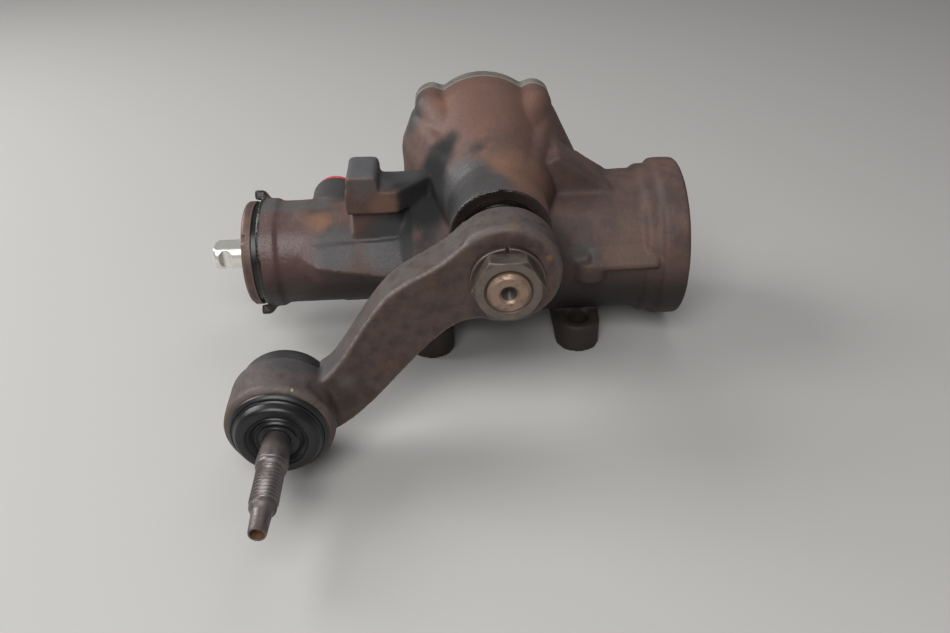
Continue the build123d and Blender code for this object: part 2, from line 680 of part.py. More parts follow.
def open_ring(plane, limits, outer, inner, opening):
    """A flat ring with a gap at its top."""
    ring = tube(plane, limits[0], limits[1], outer, inner)
    centre = (limits[0] + limits[1]) / 2
    cutter = Box(2 * (limits[1] - limits[0]), opening, 2 * (outer - inner))
    return ring - plane.location * Pos(centre, inner, 0) * Rot(90, 0, 0) * cutter


def pitman_retaining_ring():
    """Snap ring in the boss's end."""
    return open_ring(PITMAN_PLANE, RING_Y, RING_GROOVE_R, RING_IN_R, SMALL_RING_OPENING)


def mouth_r(y):
    """Radius that the tilted stud needs at one place along its socket's mouth."""
    tilt = math.radians(STUD_TILT)
    return STUD_NECK_R / math.cos(tilt) + (BALL_Y - y) * math.tan(tilt) + STUD_ROOM


def forged_eye(plane, back, front, radius):
    """A round eye with bevelled edges, before it is bored."""
    return turned(plane, (
        (back, 0), (back, radius - ARM_EDGE), (back - ARM_EDGE, radius), (front + ARM_EDGE, radius),
        (front, radius - ARM_EDGE), (front, 0)))


def arm_blank():
    """The arm's outline seen along the pitman axis, cranked towards its ball end."""
    edges = [
        Spline(*ARM_TOP), Line(ARM_TOP[-1], ARM_BOTTOM[0]),
        Spline(*ARM_BOTTOM), Line(ARM_BOTTOM[-1], ARM_TOP[0])]
    plane = Plane(origin=(0, EYE_BACK_Y, 0), x_dir=(1, 0, 0), z_dir=(0, -1, 0))
    beam = extrude(plane * make_face(edges), EYE_BACK_Y - BALL_EYE_FRONT_Y)
    side = Polyline(
        (0, EYE_BACK_Y), (CRANK_START_X, EYE_BACK_Y), (CRANK_END_X, CRANK_BACK_Y),
        (BALL_X, CRANK_BACK_Y), (BALL_X, CRANK_FRONT_Y), (CRANK_END_X, CRANK_FRONT_Y),
        (CRANK_START_X, EYE_FRONT_Y), (0, EYE_FRONT_Y), close=True)
    return beam & extrude(make_face(side), PITMAN_Z + EYE_R)


def pitman_arm():
    """Forged arm: an eye on the serrated taper, a cranked beam and the ball-joint eye."""
    arm = arm_blank()
    arm += forged_eye(PITMAN_PLANE, EYE_BACK_Y, EYE_FRONT_Y, EYE_R)
    arm += forged_eye(BALL_PLANE, BALL_EYE_BACK_Y, BALL_EYE_FRONT_Y, BALL_EYE_R)
    arm -= turned(PITMAN_PLANE, (
        (EYE_BACK_Y, 0), (EYE_BACK_Y, JOURNAL_R + SEAT), (EYE_FRONT_Y, TAPER_SMALL_R + SEAT),
        (EYE_FRONT_Y, 0)))
    arm -= tube(BALL_PLANE, SEAT_FRONT_Y, CRANK_BACK_Y + CAP_WALL, SOCKET_BORE_R)
    arm -= tube(BALL_PLANE, BALL_EYE_BACK_Y, CRANK_BACK_Y + CAP_WALL, CAP_R + SEAT)
    return arm - turned(BALL_PLANE, (
        (SEAT_FRONT_Y, 0), (SEAT_FRONT_Y, mouth_r(SEAT_FRONT_Y)),
        (BALL_EYE_FRONT_Y, mouth_r(BALL_EYE_FRONT_Y)), (BALL_EYE_FRONT_Y, 0)))


def lock_washer():
    """Split spring washer, with its cut on top."""
    limits = (EYE_FRONT_Y - WASHER_T, EYE_FRONT_Y)
    return open_ring(PITMAN_PLANE, limits, WASHER_R, THREAD_R + GAP, WASHER_SPLIT)


def pitman_nut():
    """Hexagon nut, chamfered on its outer face."""
    back = EYE_FRONT_Y - WASHER_T
    front = back - NUT_H
    corner = NUT_AF / math.sqrt(3)
    nut = hexagon(0, PITMAN_Z, (front, back), NUT_AF)
    nut &= turned(PITMAN_PLANE, (
        (back, 0), (back, corner), (front + corner - NUT_CHAMFER_R, corner), (front, NUT_CHAMFER_R - EDGE),
        (front, 0)))
    return nut - tube(PITMAN_PLANE, front, back, THREAD_R + SEAT)


def socket_cap():
    """Domed cup that closes the back of the ball joint."""
    inner_back = CAP_BACK_Y - CAP_WALL
    outer = turned(BALL_PLANE, (
        (CAP_BACK_Y, 0), (CAP_BACK_Y, CAP_R - CAP_EDGE), (CAP_BACK_Y - CAP_EDGE / 3, CAP_R - CAP_EDGE / 3),
        (CAP_BACK_Y - CAP_EDGE, CAP_R), (BALL_EYE_BACK_Y, CAP_R), (BALL_EYE_BACK_Y, 0)))
    return outer - tube(BALL_PLANE, BALL_EYE_BACK_Y, inner_back, SOCKET_BORE_R)


def socket_seat():
    """Bearing cup behind and round the ball shell."""
    cup = tube(BALL_PLANE, SEAT_FRONT_Y, SEAT_BACK_Y, SOCKET_BORE_R - SEAT)
    cup -= Pos(BALL_X, BALL_Y, BALL_Z) * Sphere(STUD_BALL_R + BALL_SHELL + RUN)
    return cup - tube(BALL_PLANE, SEAT_FRONT_Y, BALL_Y, mouth_r(SEAT_FRONT_Y))


def preload_spring():
    """Disc spring that presses the bearing cup against the ball."""
    rim_y = CAP_BACK_Y - CAP_WALL
    return turned(BALL_PLANE, (
        (rim_y, SPRING_OUT_R), (rim_y - SPRING_T, SPRING_OUT_R), (SEAT_BACK_Y, SPRING_IN_R),
        (SEAT_BACK_Y + SPRING_T, SPRING_IN_R)))


def ball_shell():
    """Split shell that tilts in the seat while the stud turns inside it."""
    shell = Pos(BALL_X, BALL_Y, BALL_Z) * Sphere(STUD_BALL_R + BALL_SHELL)
    shell -= Pos(BALL_X, BALL_Y, BALL_Z) * Sphere(STUD_BALL_R + RUN)
    return shell - tube(BALL_PLANE, BALL_Y - STUD_BALL_R - BALL_SHELL, BALL_Y, STUD_NECK_R + GAP)


def ball_stud():
    """Stud with its ball, tapered seat, thread and the short drive tip."""
    thread_start, thread_root = STUD_THREAD_Y
    tip_end, tip_root = STUD_TIP_Y
    stud = turned(BALL_PLANE, (
        (BALL_Y, 0), (BALL_Y, STUD_NECK_R), (STUD_LIP_Y + STUD_FLARE, STUD_NECK_R), (STUD_LIP_Y, STUD_SMALL_R),
        (STUD_BIG_Y, STUD_BIG_R), (thread_root, STUD_THREAD_R),
        (thread_start + STUD_THREAD_CHAMFER, STUD_THREAD_R),
        (thread_start, STUD_THREAD_R - STUD_THREAD_CHAMFER),
        (tip_root, STUD_TIP_R), (tip_end, STUD_TIP_END_R), (tip_end, 0)))
    stud += Pos(BALL_X, BALL_Y, BALL_Z) * Sphere(STUD_BALL_R)
    return stud - tube(BALL_PLANE, tip_end, tip_end + 2 * STUD_TIP_BORE_R, STUD_TIP_BORE_R)


def boot_ring():
    """Steel ring that clamps the foot of the boot."""
    inside = BOOT_RING_R - BOOT_RING_T
    return tube(BALL_PLANE, BALL_EYE_FRONT_Y - BOOT_RING_T, BALL_EYE_FRONT_Y, BOOT_RING_R, inside)


def dust_boot():
    """Rubber boot: a foot held by the ring, one round roll and a lip that grips the stud."""
    foot_r = BOOT_RING_R - BOOT_RING_T - GAP
    lip_r = STUD_BIG_R + GAP
    roll_y = BOOT_RING_Y - BOOT_ROLL_R
    middle_r = (foot_r + lip_r) / 2
    outer = [
        Line((BALL_EYE_FRONT_Y, foot_r), (BOOT_RING_Y, foot_r)),
        ThreePointArc(
            (BOOT_RING_Y, foot_r), (roll_y, middle_r + BOOT_ROLL_R), (BOOT_RING_Y, lip_r + BOOT_WALL)),
        Line((BOOT_RING_Y, lip_r + BOOT_WALL), (BOOT_RING_Y - BOOT_LIP_T, lip_r + BOOT_WALL)),
        Line((BOOT_RING_Y - BOOT_LIP_T, lip_r + BOOT_WALL), (BOOT_RING_Y - BOOT_LIP_T, lip_r)),
        Line((BOOT_RING_Y - BOOT_LIP_T, lip_r), (BOOT_RING_Y + BOOT_WALL, lip_r))]
    inner = [
        ThreePointArc((BOOT_RING_Y + BOOT_WALL, lip_r), (roll_y + BOOT_WALL, middle_r + BOOT_ROLL_R - EDGE),
                      (BOOT_RING_Y + BOOT_WALL, foot_r - BOOT_WALL)),
        Line((BOOT_RING_Y + BOOT_WALL, foot_r - BOOT_WALL), (BALL_EYE_FRONT_Y, foot_r - BOOT_WALL)),
        Line((BALL_EYE_FRONT_Y, foot_r - BOOT_WALL), (BALL_EYE_FRONT_Y, foot_r))]
    return revolve(BALL_PLANE * make_face(outer + inner), Axis(BALL_PLANE.origin, BALL_PLANE.x_dir))


def ball_helix(start_x, turns, radius=BALL_CIRCLE_R):
    """Right-hand helix round the worm that passes the bottom at start_x."""
    path = Helix(pitch=WORM_LEAD, height=WORM_LEAD * turns, radius=radius)
    return Pos(start_x, 0, WORM_Z) * Rot(0, 90, 0) * path


def ball_groove(start_x, turns, radius):
    """Round-bottomed helical groove, as a solid to cut away."""
    path = ball_helix(start_x, turns)
    profile = Plane(origin=path @ 0, z_dir=path % 0) * Circle(radius)
    return sweep(profile, path=path, is_frenet=True)


def rack_teeth_cut():
    """The flat on top of the piston and the three tooth spaces in it."""
    tip_h = RACK_PITCH_H + MODULE
    root_h = RACK_PITCH_H - MODULE - ROOT_CLEARANCE
    pitch = math.pi * MODULE
    slope = math.tan(math.radians(PRESSURE_ANGLE))
    cut = block((PISTON_LEFT_X, RACK_FLAT_RIGHT_X), (-PISTON_BORE_R, PISTON_BORE_R),
                (WORM_Z + tip_h - GAP, WORM_Z + PISTON_BORE_R))
    for index in CUT_TEETH:
        middle = index * pitch
        wide = pitch / 4 + slope * MODULE
        narrow = pitch / 4 - slope * (MODULE + ROOT_CLEARANCE)
        outline = (
            (middle - wide, WORM_Z + tip_h), (middle + wide, WORM_Z + tip_h),
            (middle + narrow, WORM_Z + root_h), (middle - narrow, WORM_Z + root_h))
        cut += slab(outline, (-PISTON_BORE_R, PISTON_BORE_R))
    return cut


def rack_piston():
    """Piston with rack teeth on top, the ball nut inside and the return pocket below."""
    piston = tube(WORM_PLANE, PISTON_LEFT_X, PISTON_RIGHT_X, PISTON_BORE_R - RUN)
    piston -= rack_teeth_cut()
    piston -= tube(WORM_PLANE, PISTON_LEFT_X, PLUG_X, NUT_BORE_R)
    piston -= tube(WORM_PLANE, PLUG_X, PISTON_RIGHT_X, PLUG_R)
    piston -= tube(WORM_PLANE, RING_X, RING_X + RING_WIDTH, PISTON_BORE_R, PISTON_BORE_R - RING_DEPTH)
    pocket_x = (CIRCUIT_X - POCKET_MARGIN, CIRCUIT_END_X + POCKET_MARGIN)
    pocket_z = (WORM_Z - PISTON_BORE_R, WORM_Z - POCKET_DEPTH_R)
    piston -= block(pocket_x, (-POCKET_HALF_Y, POCKET_HALF_Y), pocket_z)
    for x in (CIRCUIT_X, CIRCUIT_END_X):
        piston -= upright(x, 0, (WORM_Z - POCKET_DEPTH_R, WORM_Z - NUT_BORE_R + EDGE), GUIDE_R + SEAT)
    for y in (-SCREW_Y, SCREW_Y):
        middle = (CIRCUIT_X + CIRCUIT_END_X) / 2
        floor_z = WORM_Z - POCKET_DEPTH_R
        piston -= upright(middle, y, (floor_z, floor_z + SCREW_DEPTH), SCREW_R + SEAT)
    return piston - ball_groove(CIRCUIT_X, 1, BALL_R + RUN)


def piston_ring():
    """Seal ring of the piston."""
    return tube(WORM_PLANE, RING_X + RUN, RING_X + RING_WIDTH - RUN, PISTON_BORE_R - RUN / 2,
                PISTON_BORE_R - RING_DEPTH + SEAT)


def rack_piston_plug():
    """Threaded plug with a square drive."""
    plug = tube(WORM_PLANE, PLUG_X, PISTON_RIGHT_X - EDGE, PLUG_R - SEAT)
    return plug - Pos(PISTON_RIGHT_X, 0, WORM_Z) * Box(PLUG_DRIVE, PLUG_DRIVE, PLUG_DRIVE)


def ball_guides():
    """U-shaped tube that leads the balls from one end of the circuit back to the other."""
    top_z = WORM_Z - BALL_CIRCLE_R - BALL_R - GAP
    bottom_z = WORM_Z - GUIDE_REACH
    path = FilletPolyline(
        (CIRCUIT_X, 0, top_z), (CIRCUIT_X, 0, bottom_z), (CIRCUIT_END_X, 0, bottom_z),
        (CIRCUIT_END_X, 0, top_z),
        radius=GUIDE_BEND)
    mouth = Plane(origin=path @ 0, z_dir=path % 0)
    return sweep(mouth * Circle(GUIDE_R), path=path) - sweep(mouth * Circle(GUIDE_BORE_R), path=path)


def guide_clamp():
    """Bent strap over the guide tube, held by two screws."""
    middle = (CIRCUIT_X + CIRCUIT_END_X) / 2
    foot_z = WORM_Z - POCKET_DEPTH_R
    under_z = WORM_Z - GUIDE_REACH - GUIDE_R
    hook = GUIDE_R + CLAMP_T
    outline = (
        (-SCREW_Y - SCREW_HEAD_R, foot_z), (-GUIDE_R, foot_z), (-GUIDE_R, under_z), (GUIDE_R, under_z),
        (GUIDE_R, foot_z), (SCREW_Y + SCREW_HEAD_R, foot_z), (SCREW_Y + SCREW_HEAD_R, foot_z - CLAMP_T),
        (hook, foot_z - CLAMP_T), (hook, under_z - CLAMP_T), (-hook, under_z - CLAMP_T),
        (-hook, foot_z - CLAMP_T),
        (-SCREW_Y - SCREW_HEAD_R, foot_z - CLAMP_T))
    plane = Plane(origin=(middle - CLAMP_WIDTH / 2, 0, 0), x_dir=(0, 1, 0), z_dir=(1, 0, 0))
    strap = extrude(plane * make_face(Polyline(*outline, close=True)), CLAMP_WIDTH)
    for y in (-SCREW_Y, SCREW_Y):
        strap -= upright(middle, y, (foot_z - CLAMP_T, foot_z), SCREW_R + SEAT)
    return strap


def clamp_screws():
    """The two screws of the strap."""
    middle = (CIRCUIT_X + CIRCUIT_END_X) / 2
    head_z = WORM_Z - POCKET_DEPTH_R - CLAMP_T
    screws = []
    for y in (-SCREW_Y, SCREW_Y):
        screw = upright(middle, y, (head_z, head_z + CLAMP_T + SCREW_DEPTH), SCREW_R)
        screws.append(screw + upright(middle, y, (head_z - SCREW_HEAD_H, head_z), SCREW_HEAD_R))
    return Compound(screws)


def recirculating_balls():
    """Balls spaced round the one loaded turn of the circuit."""
    path = ball_helix(CIRCUIT_X, 1)
    places = [path @ ((index + 0.5) / BALL_COUNT) for index in range(BALL_COUNT)]
    return Compound([Pos(*place) * Sphere(BALL_R) for place in places])


def worm_shaft():
    """Worm with its ball groove, thrust flange, and the slot that drives it if the torsion bar fails."""
    flange_x = THRUST_X - 2 * RACE_T - CAGE_T
    turns = round((GROOVE_X[1] - GROOVE_X[0]) / WORM_LEAD)
    start = CIRCUIT_X - WORM_LEAD * round((CIRCUIT_X - GROOVE_X[0]) / WORM_LEAD)
    worm = turned(WORM_PLANE, (
        (flange_x - WORM_FLANGE_T, 0), (flange_x - WORM_FLANGE_T, WORM_FLANGE_R), (flange_x, WORM_FLANGE_R),
        (flange_x, WORM_NECK_R), (BORE_LEFT_X, WORM_NECK_R), (BORE_LEFT_X + EDGE, WORM_R),
        (WORM_END_X - EDGE, WORM_R),
        (WORM_END_X, WORM_R - EDGE), (WORM_END_X, 0)))
    worm -= ball_groove(start, turns, BALL_R + RUN)
    socket_x = flange_x - WORM_FLANGE_T
    worm -= tube(WORM_PLANE, socket_x, TORSION_SEAT_X, TORSION_R + RUN)
    slot = Box(TONGUE_LENGTH + GAP, 2 * (STUB_R + GAP), 2 * TONGUE_SLOT_HALF)
    slot &= Rot(0, 90, 0) * Cylinder(STUB_R + RUN, TONGUE_LENGTH + GAP)
    return worm - Pos(socket_x + (TONGUE_LENGTH + GAP) / 2, 0, WORM_Z) * slot


def valve_left_x():
    """Input-side end of the valve body."""
    return THRUST_X - 2 * RACE_T - CAGE_T - WORM_FLANGE_T - VALVE_LENGTH


def valve_body():
    """Sleeve with annular oil grooves between its seal rings."""
    left = valve_left_x()
    right = left + VALVE_LENGTH
    body = tube(WORM_PLANE, left, right, VALVE_BORE_R - RUN, SPOOL_R + RUN)
    span = VALVE_LENGTH / (GROOVE_COUNT + SEAL_RING_COUNT)
    for index in range(GROOVE_COUNT):
        start = left + (2 * index + 1) * span
        body -= tube(WORM_PLANE, start, start + span, VALVE_BORE_R, VALVE_BORE_R - VALVE_GROOVE_DEPTH)
    for index in range(SEAL_RING_COUNT):
        middle = left + (2 * index + 0.5) * span
        body -= tube(WORM_PLANE, middle - SEAL_RING_T / 2, middle + SEAL_RING_T / 2, VALVE_BORE_R,
                     VALVE_BORE_R - SEAL_RING_DEPTH)
    return body


def valve_seal_rings():
    """Seal rings between the oil grooves of the valve."""
    left = valve_left_x()
    span = VALVE_LENGTH / (GROOVE_COUNT + SEAL_RING_COUNT)
    half = SEAL_RING_T / 2 - SEAT
    rings = []
    for index in range(SEAL_RING_COUNT):
        middle = left + (2 * index + 0.5) * span
        rings.append(tube(WORM_PLANE, middle - half, middle + half, VALVE_BORE_R - RUN / 2,
                          VALVE_BORE_R - SEAL_RING_DEPTH + SEAT))
    return Compound(rings)


def spool_valve():
    """Inner valve sleeve, fixed on the input shaft."""
    left = valve_left_x()
    spool = tube(WORM_PLANE, left + GAP, left + VALVE_LENGTH - GAP, SPOOL_R, STUB_R + SEAT)
    groove = (left + VALVE_LENGTH / 3, left + VALVE_LENGTH / 2)
    return spool - tube(WORM_PLANE, groove[0], groove[1], SPOOL_R, SPOOL_R - SPOOL_GROOVE_DEPTH)


def stub_shaft():
    """Input shaft with two flats, the clamp bolt's notch and the safety tongue."""
    right = valve_left_x() + VALVE_LENGTH
    shaft = turned(WORM_PLANE, (
        (STUB_TIP_X, 0), (STUB_TIP_X, STUB_R - STUB_CHAMFER), (STUB_TIP_X + STUB_CHAMFER, STUB_R),
        (right, STUB_R), (right, 0)))
    shaft += (Pos(right + TONGUE_LENGTH / 2, 0, WORM_Z) * Box(TONGUE_LENGTH, 2 * STUB_R, 2 * TONGUE_HALF)
              & tube(WORM_PLANE, right, right + TONGUE_LENGTH, STUB_R))
    for side in (-1, 1):
        near = WORM_Z + side * STUB_FLAT_AF / 2
        far = WORM_Z + side * 2 * STUB_R
        shaft -= block((STUB_TIP_X, STUB_FLAT_X), (-STUB_R, STUB_R), (min(near, far), max(near, far)))
    notch = Pos(STUB_NOTCH_X, -STUB_R - STUB_NOTCH_R / 3, WORM_Z) * Cylinder(STUB_NOTCH_R, 2 * STUB_R)
    return shaft - notch - tube(WORM_PLANE, STUB_NOTCH_X, right + TONGUE_LENGTH, TORSION_R + SEAT)


def torsion_bar():
    """Bar that joins the input shaft to the worm."""
    return tube(WORM_PLANE, STUB_NOTCH_X, TORSION_SEAT_X - GAP, TORSION_R)


def thrust_bearing(start_x, outer, inner):
    """Two races with a roller cage between them."""
    cage_x = start_x + RACE_T
    races = [
        tube(WORM_PLANE, start_x, cage_x, outer, inner),
        tube(WORM_PLANE, cage_x, cage_x + CAGE_T, outer - CAGE_STEP, inner + CAGE_STEP),
        tube(WORM_PLANE, cage_x + CAGE_T, cage_x + CAGE_T + RACE_T, outer, inner)]
    return races[0] + races[1] + races[2]


def inner_thrust_bearing():
    """Thrust bearing between the worm and the housing."""
    return thrust_bearing(THRUST_X - 2 * RACE_T - CAGE_T, WORM_FLANGE_R, WORM_NECK_R + GAP)


def outer_thrust_bearing():
    """Thrust bearing between the valve and the adjuster plug."""
    return thrust_bearing(valve_left_x() - 2 * RACE_T - CAGE_T, WORM_FLANGE_R, SPOOL_R)


def adjuster_plug():
    """Threaded plug that carries the stub shaft's bearing and seals."""
    inner_x = valve_left_x() - 2 * RACE_T - CAGE_T
    plug = tube(WORM_PLANE, PLUG_FACE_X, inner_x, ADJUSTER_R - SEAT, STUB_R + 2 * GAP)
    plug -= tube(WORM_PLANE, STUB_BEARING_X[0], inner_x, STUB_BEARING_R)
    plug -= tube(WORM_PLANE, PLUG_FACE_X, STUB_SEAL_X[1], STUB_SEAL_R)
    plug -= tube(WORM_PLANE, STUB_RING_X[0], STUB_RING_X[1], STUB_RING_GROOVE_R + SEAT)
    for index in range(SPANNER_HOLES):
        angle = math.pi * index
        y = SPANNER_PCR * math.cos(angle)
        z = WORM_Z + SPANNER_PCR * math.sin(angle)
        plug -= Pos(PLUG_FACE_X, y, z) * Rot(0, 90, 0) * Cylinder(SPANNER_R, 4 * SPANNER_R)
    return plug


def adjuster_lock_nut():
    """Round nut with wrench notches in its rim."""
    start, end = LOCK_NUT_X
    nut = turned(WORM_PLANE, (
        (start, ADJUSTER_R + SEAT), (start, LOCK_NUT_R - EDGE), (start + EDGE, LOCK_NUT_R), (end, LOCK_NUT_R),
        (end, ADJUSTER_R + SEAT)))
    for index in range(LOCK_NUT_NOTCHES):
        notch = Pos(start, 0, WORM_Z + LOCK_NUT_R) * Box(end - start, LOCK_NUT_NOTCH, LOCK_NUT_NOTCH / 2)
        nut -= notch.rotate(Axis((0, 0, WORM_Z), (1, 0, 0)), (index + 0.5) * 360 / LOCK_NUT_NOTCHES)
    return nut


def adjuster_seal():
    """Seal ring between the lock nut and the rim."""
    return tube(WORM_PLANE, LOCK_NUT_X[1], VALVE_RIM_X, ADJUSTER_SEAL_R, ADJUSTER_R + SEAT)


def stub_bearing():
    """Needle sleeve of the input shaft."""
    return tube(WORM_PLANE, STUB_BEARING_X[0], STUB_BEARING_X[1], STUB_BEARING_R - SEAT, STUB_R + RUN)


def stub_seal():
    """Oil seal of the input shaft."""
    return tube(WORM_PLANE, STUB_SEAL_X[0], STUB_SEAL_X[1], STUB_SEAL_R - SEAT, STUB_R + RUN)


def stub_dust_seal():
    """Dust seal of the input shaft."""
    return tube(WORM_PLANE, DUST_SEAL_X[0], DUST_SEAL_X[1], STUB_SEAL_R - SEAT, STUB_R + RUN)


def stub_retaining_ring():
    """Snap ring outside the input shaft's seals."""
    return open_ring(WORM_PLANE, STUB_RING_X, STUB_RING_GROOVE_R, STUB_RING_IN_R, SMALL_RING_OPENING)


def end_plug():
    """Disc that closes the piston bore, with an O-ring groove and a shallow dish."""
    left = END_X - END_BORE_DEPTH
    right = left + END_PLUG_T
    plug = tube(WORM_PLANE, left, right, END_BORE_R - SEAT)
    middle = (left + right) / 2
    plug -= tube(WORM_PLANE, middle - O_RING_R, middle + O_RING_R, END_BORE_R, END_BORE_R - 2 * O_RING_R)
    return plug - tube(WORM_PLANE, right - DISH_DEPTH, right, DISH_R)


def end_plug_o_ring():
    """O-ring of the end plug."""
    middle = END_X - END_BORE_DEPTH + END_PLUG_T / 2
    ring = Torus(END_BORE_R - O_RING_R - SEAT, O_RING_R - RUN - SEAT)
    return Pos(middle, 0, WORM_Z) * Rot(0, 90, 0) * ring


def end_retaining_ring():
    """Snap ring that holds the end plug."""
    return open_ring(WORM_PLANE, END_RING_X, END_RING_R, END_RING_IN_R, RING_OPENING)


def port_seats():
    """Cone seats for the hose ends, at the bottom of the ports."""
    floor_y = PORT_FACE_Y - PORT_DEPTH
    seats = []
    for x in PORT_X:
        plane = Plane(origin=(x, 0, PORT_Z), x_dir=(0, 1, 0), z_dir=(1, 0, 0))
        seats.append(turned(plane, (
            (floor_y, PORT_DUCT_R - PORT_SEAT_WALL), (floor_y, PORT_DUCT_R + PORT_SEAT_WALL),
            (floor_y + PORT_SEAT_BASE, PORT_DUCT_R + PORT_SEAT_WALL),
            (floor_y + PORT_SEAT_H, PORT_DUCT_R - PORT_SEAT_WALL + GAP),
            (floor_y + PORT_SEAT_H, PORT_DUCT_R - PORT_SEAT_WALL))))
    return Compound(seats)


def port_caps():
    """Push-in plastic plugs that keep dirt out of the ports."""
    caps = []
    for x in PORT_X:
        plane = Plane(origin=(x, 0, PORT_Z), x_dir=(0, 1, 0), z_dir=(1, 0, 0))
        caps.append(turned(plane, (
            (PORT_FACE_Y - PORT_R, 0), (PORT_FACE_Y - PORT_R, PORT_R - SEAT), (PORT_FACE_Y, PORT_R - SEAT),
            (PORT_FACE_Y, CAP_FLANGE_R), (PORT_FACE_Y + CAP_FLANGE_T, CAP_FLANGE_R),
            (PORT_FACE_Y + CAP_FLANGE_T, CAP_DISH_R), (PORT_FACE_Y - CAP_DISH_DEPTH, CAP_DISH_R),
            (PORT_FACE_Y - CAP_DISH_DEPTH, 0))))
    return Compound(caps)


PIECES = (
    housing, side_cover, side_cover_gasket, cover_bolts, cover_bushing, lash_adjuster_screw,
    lash_adjuster_nut, pitman_shaft, pitman_needle_bearing, pitman_inner_seal, pitman_backup_washer,
    pitman_outer_seal, pitman_retaining_ring, pitman_arm, lock_washer, pitman_nut, socket_cap, socket_seat,
    preload_spring, ball_shell, ball_stud, boot_ring, dust_boot, rack_piston, piston_ring,
    rack_piston_plug, ball_guides, guide_clamp, clamp_screws, recirculating_balls, worm_shaft, valve_body,
    valve_seal_rings, spool_valve, stub_shaft, torsion_bar, inner_thrust_bearing, outer_thrust_bearing,
    adjuster_plug, adjuster_lock_nut, adjuster_seal, stub_bearing, stub_seal, stub_dust_seal,
    stub_retaining_ring, end_plug, end_plug_o_ring, end_retaining_ring, port_seats, port_caps)

os.makedirs("parts", exist_ok=True)
for piece in PIECES:
    save(piece.__name__, piece())
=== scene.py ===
"""Looks of a power steering gearbox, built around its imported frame."""

from __future__ import annotations

import json
import logging
import math
from contextlib import contextmanager
from dataclasses import dataclass
from enum import Enum
from typing import Callable, Iterator, Sequence, Union

import bmesh
import bpy
import numpy as np
from mathutils import Matrix, Vector, noise

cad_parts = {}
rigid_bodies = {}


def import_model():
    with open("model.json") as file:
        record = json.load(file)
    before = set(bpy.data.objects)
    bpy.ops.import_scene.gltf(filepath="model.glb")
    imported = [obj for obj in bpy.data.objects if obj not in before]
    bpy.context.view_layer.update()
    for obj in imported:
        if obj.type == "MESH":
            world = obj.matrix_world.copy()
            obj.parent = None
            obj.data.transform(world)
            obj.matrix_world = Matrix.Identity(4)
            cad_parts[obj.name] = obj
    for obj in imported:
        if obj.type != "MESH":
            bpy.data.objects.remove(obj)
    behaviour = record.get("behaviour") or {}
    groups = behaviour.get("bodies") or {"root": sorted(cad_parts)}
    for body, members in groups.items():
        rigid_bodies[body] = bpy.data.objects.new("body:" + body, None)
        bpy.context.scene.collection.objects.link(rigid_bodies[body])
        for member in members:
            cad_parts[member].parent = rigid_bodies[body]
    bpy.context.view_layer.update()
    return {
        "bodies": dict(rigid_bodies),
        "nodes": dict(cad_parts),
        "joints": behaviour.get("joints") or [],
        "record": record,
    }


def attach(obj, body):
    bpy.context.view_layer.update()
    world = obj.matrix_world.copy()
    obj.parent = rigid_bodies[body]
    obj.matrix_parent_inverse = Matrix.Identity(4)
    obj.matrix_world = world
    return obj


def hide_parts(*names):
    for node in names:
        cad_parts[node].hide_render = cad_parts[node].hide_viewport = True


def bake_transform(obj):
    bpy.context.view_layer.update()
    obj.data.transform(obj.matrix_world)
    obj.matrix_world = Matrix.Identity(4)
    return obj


MM = 0.001                  # one millimetre in metres
SAME_PLACE = 1e-6           # vertices nearer than this, in metres, are one
MOST_TRIANGLES = 190_000    # in one piece
EDGE_SHARE = 0.48           # of an edge of an outline, the most that one rounding takes
EVENING = 0.6               # how far one pass moves a vertex towards the middle of its neighbours
GRAINS_PER_MM = 0.45        # fineness of the unevenness of castings and forgings
LOG = logging.getLogger("gearbox")

Colour = tuple[float, float, float]
Point = tuple[float, float, float]
Outline = Sequence[tuple[float, ...]]
Keep = Callable[[np.ndarray], np.ndarray]


class Body(Enum):
    """The bodies of the frame that new pieces ride on."""

    HOUSING = "housing_body"
    SECTOR = "sector_body"
    INPUT = "input_body"
    SHELL = "shell_body"
    STUD = "stud_body"


class Along(Enum):
    """The directions in which turned pieces lie."""

    WORM = (1.0, 0.0, 0.0)
    PITMAN = (0.0, 1.0, 0.0)


@dataclass(frozen=True)
class Axes:
    """Lines of the mechanism, in millimetres, read from the frame's joints."""

    pitman: Point
    worm: Point
    ball: Point

    @classmethod
    def from_joints(cls, joints: list[dict]) -> "Axes":
        """Reads the places of the joints.

        Args:
            joints: The joints that the frame gives.

        Returns:
            The three places in millimetres.
        """
        places = {joint["name"]: joint.get("pos_m", (0, 0, 0)) for joint in joints}

        def place(name: str) -> Point:
            """One joint's place in millimetres."""
            return tuple(value / MM for value in places[name])

        return cls(place("sector_turn"), place("worm_spin"), place("stud_tilt"))


Number = Union["Value", float]


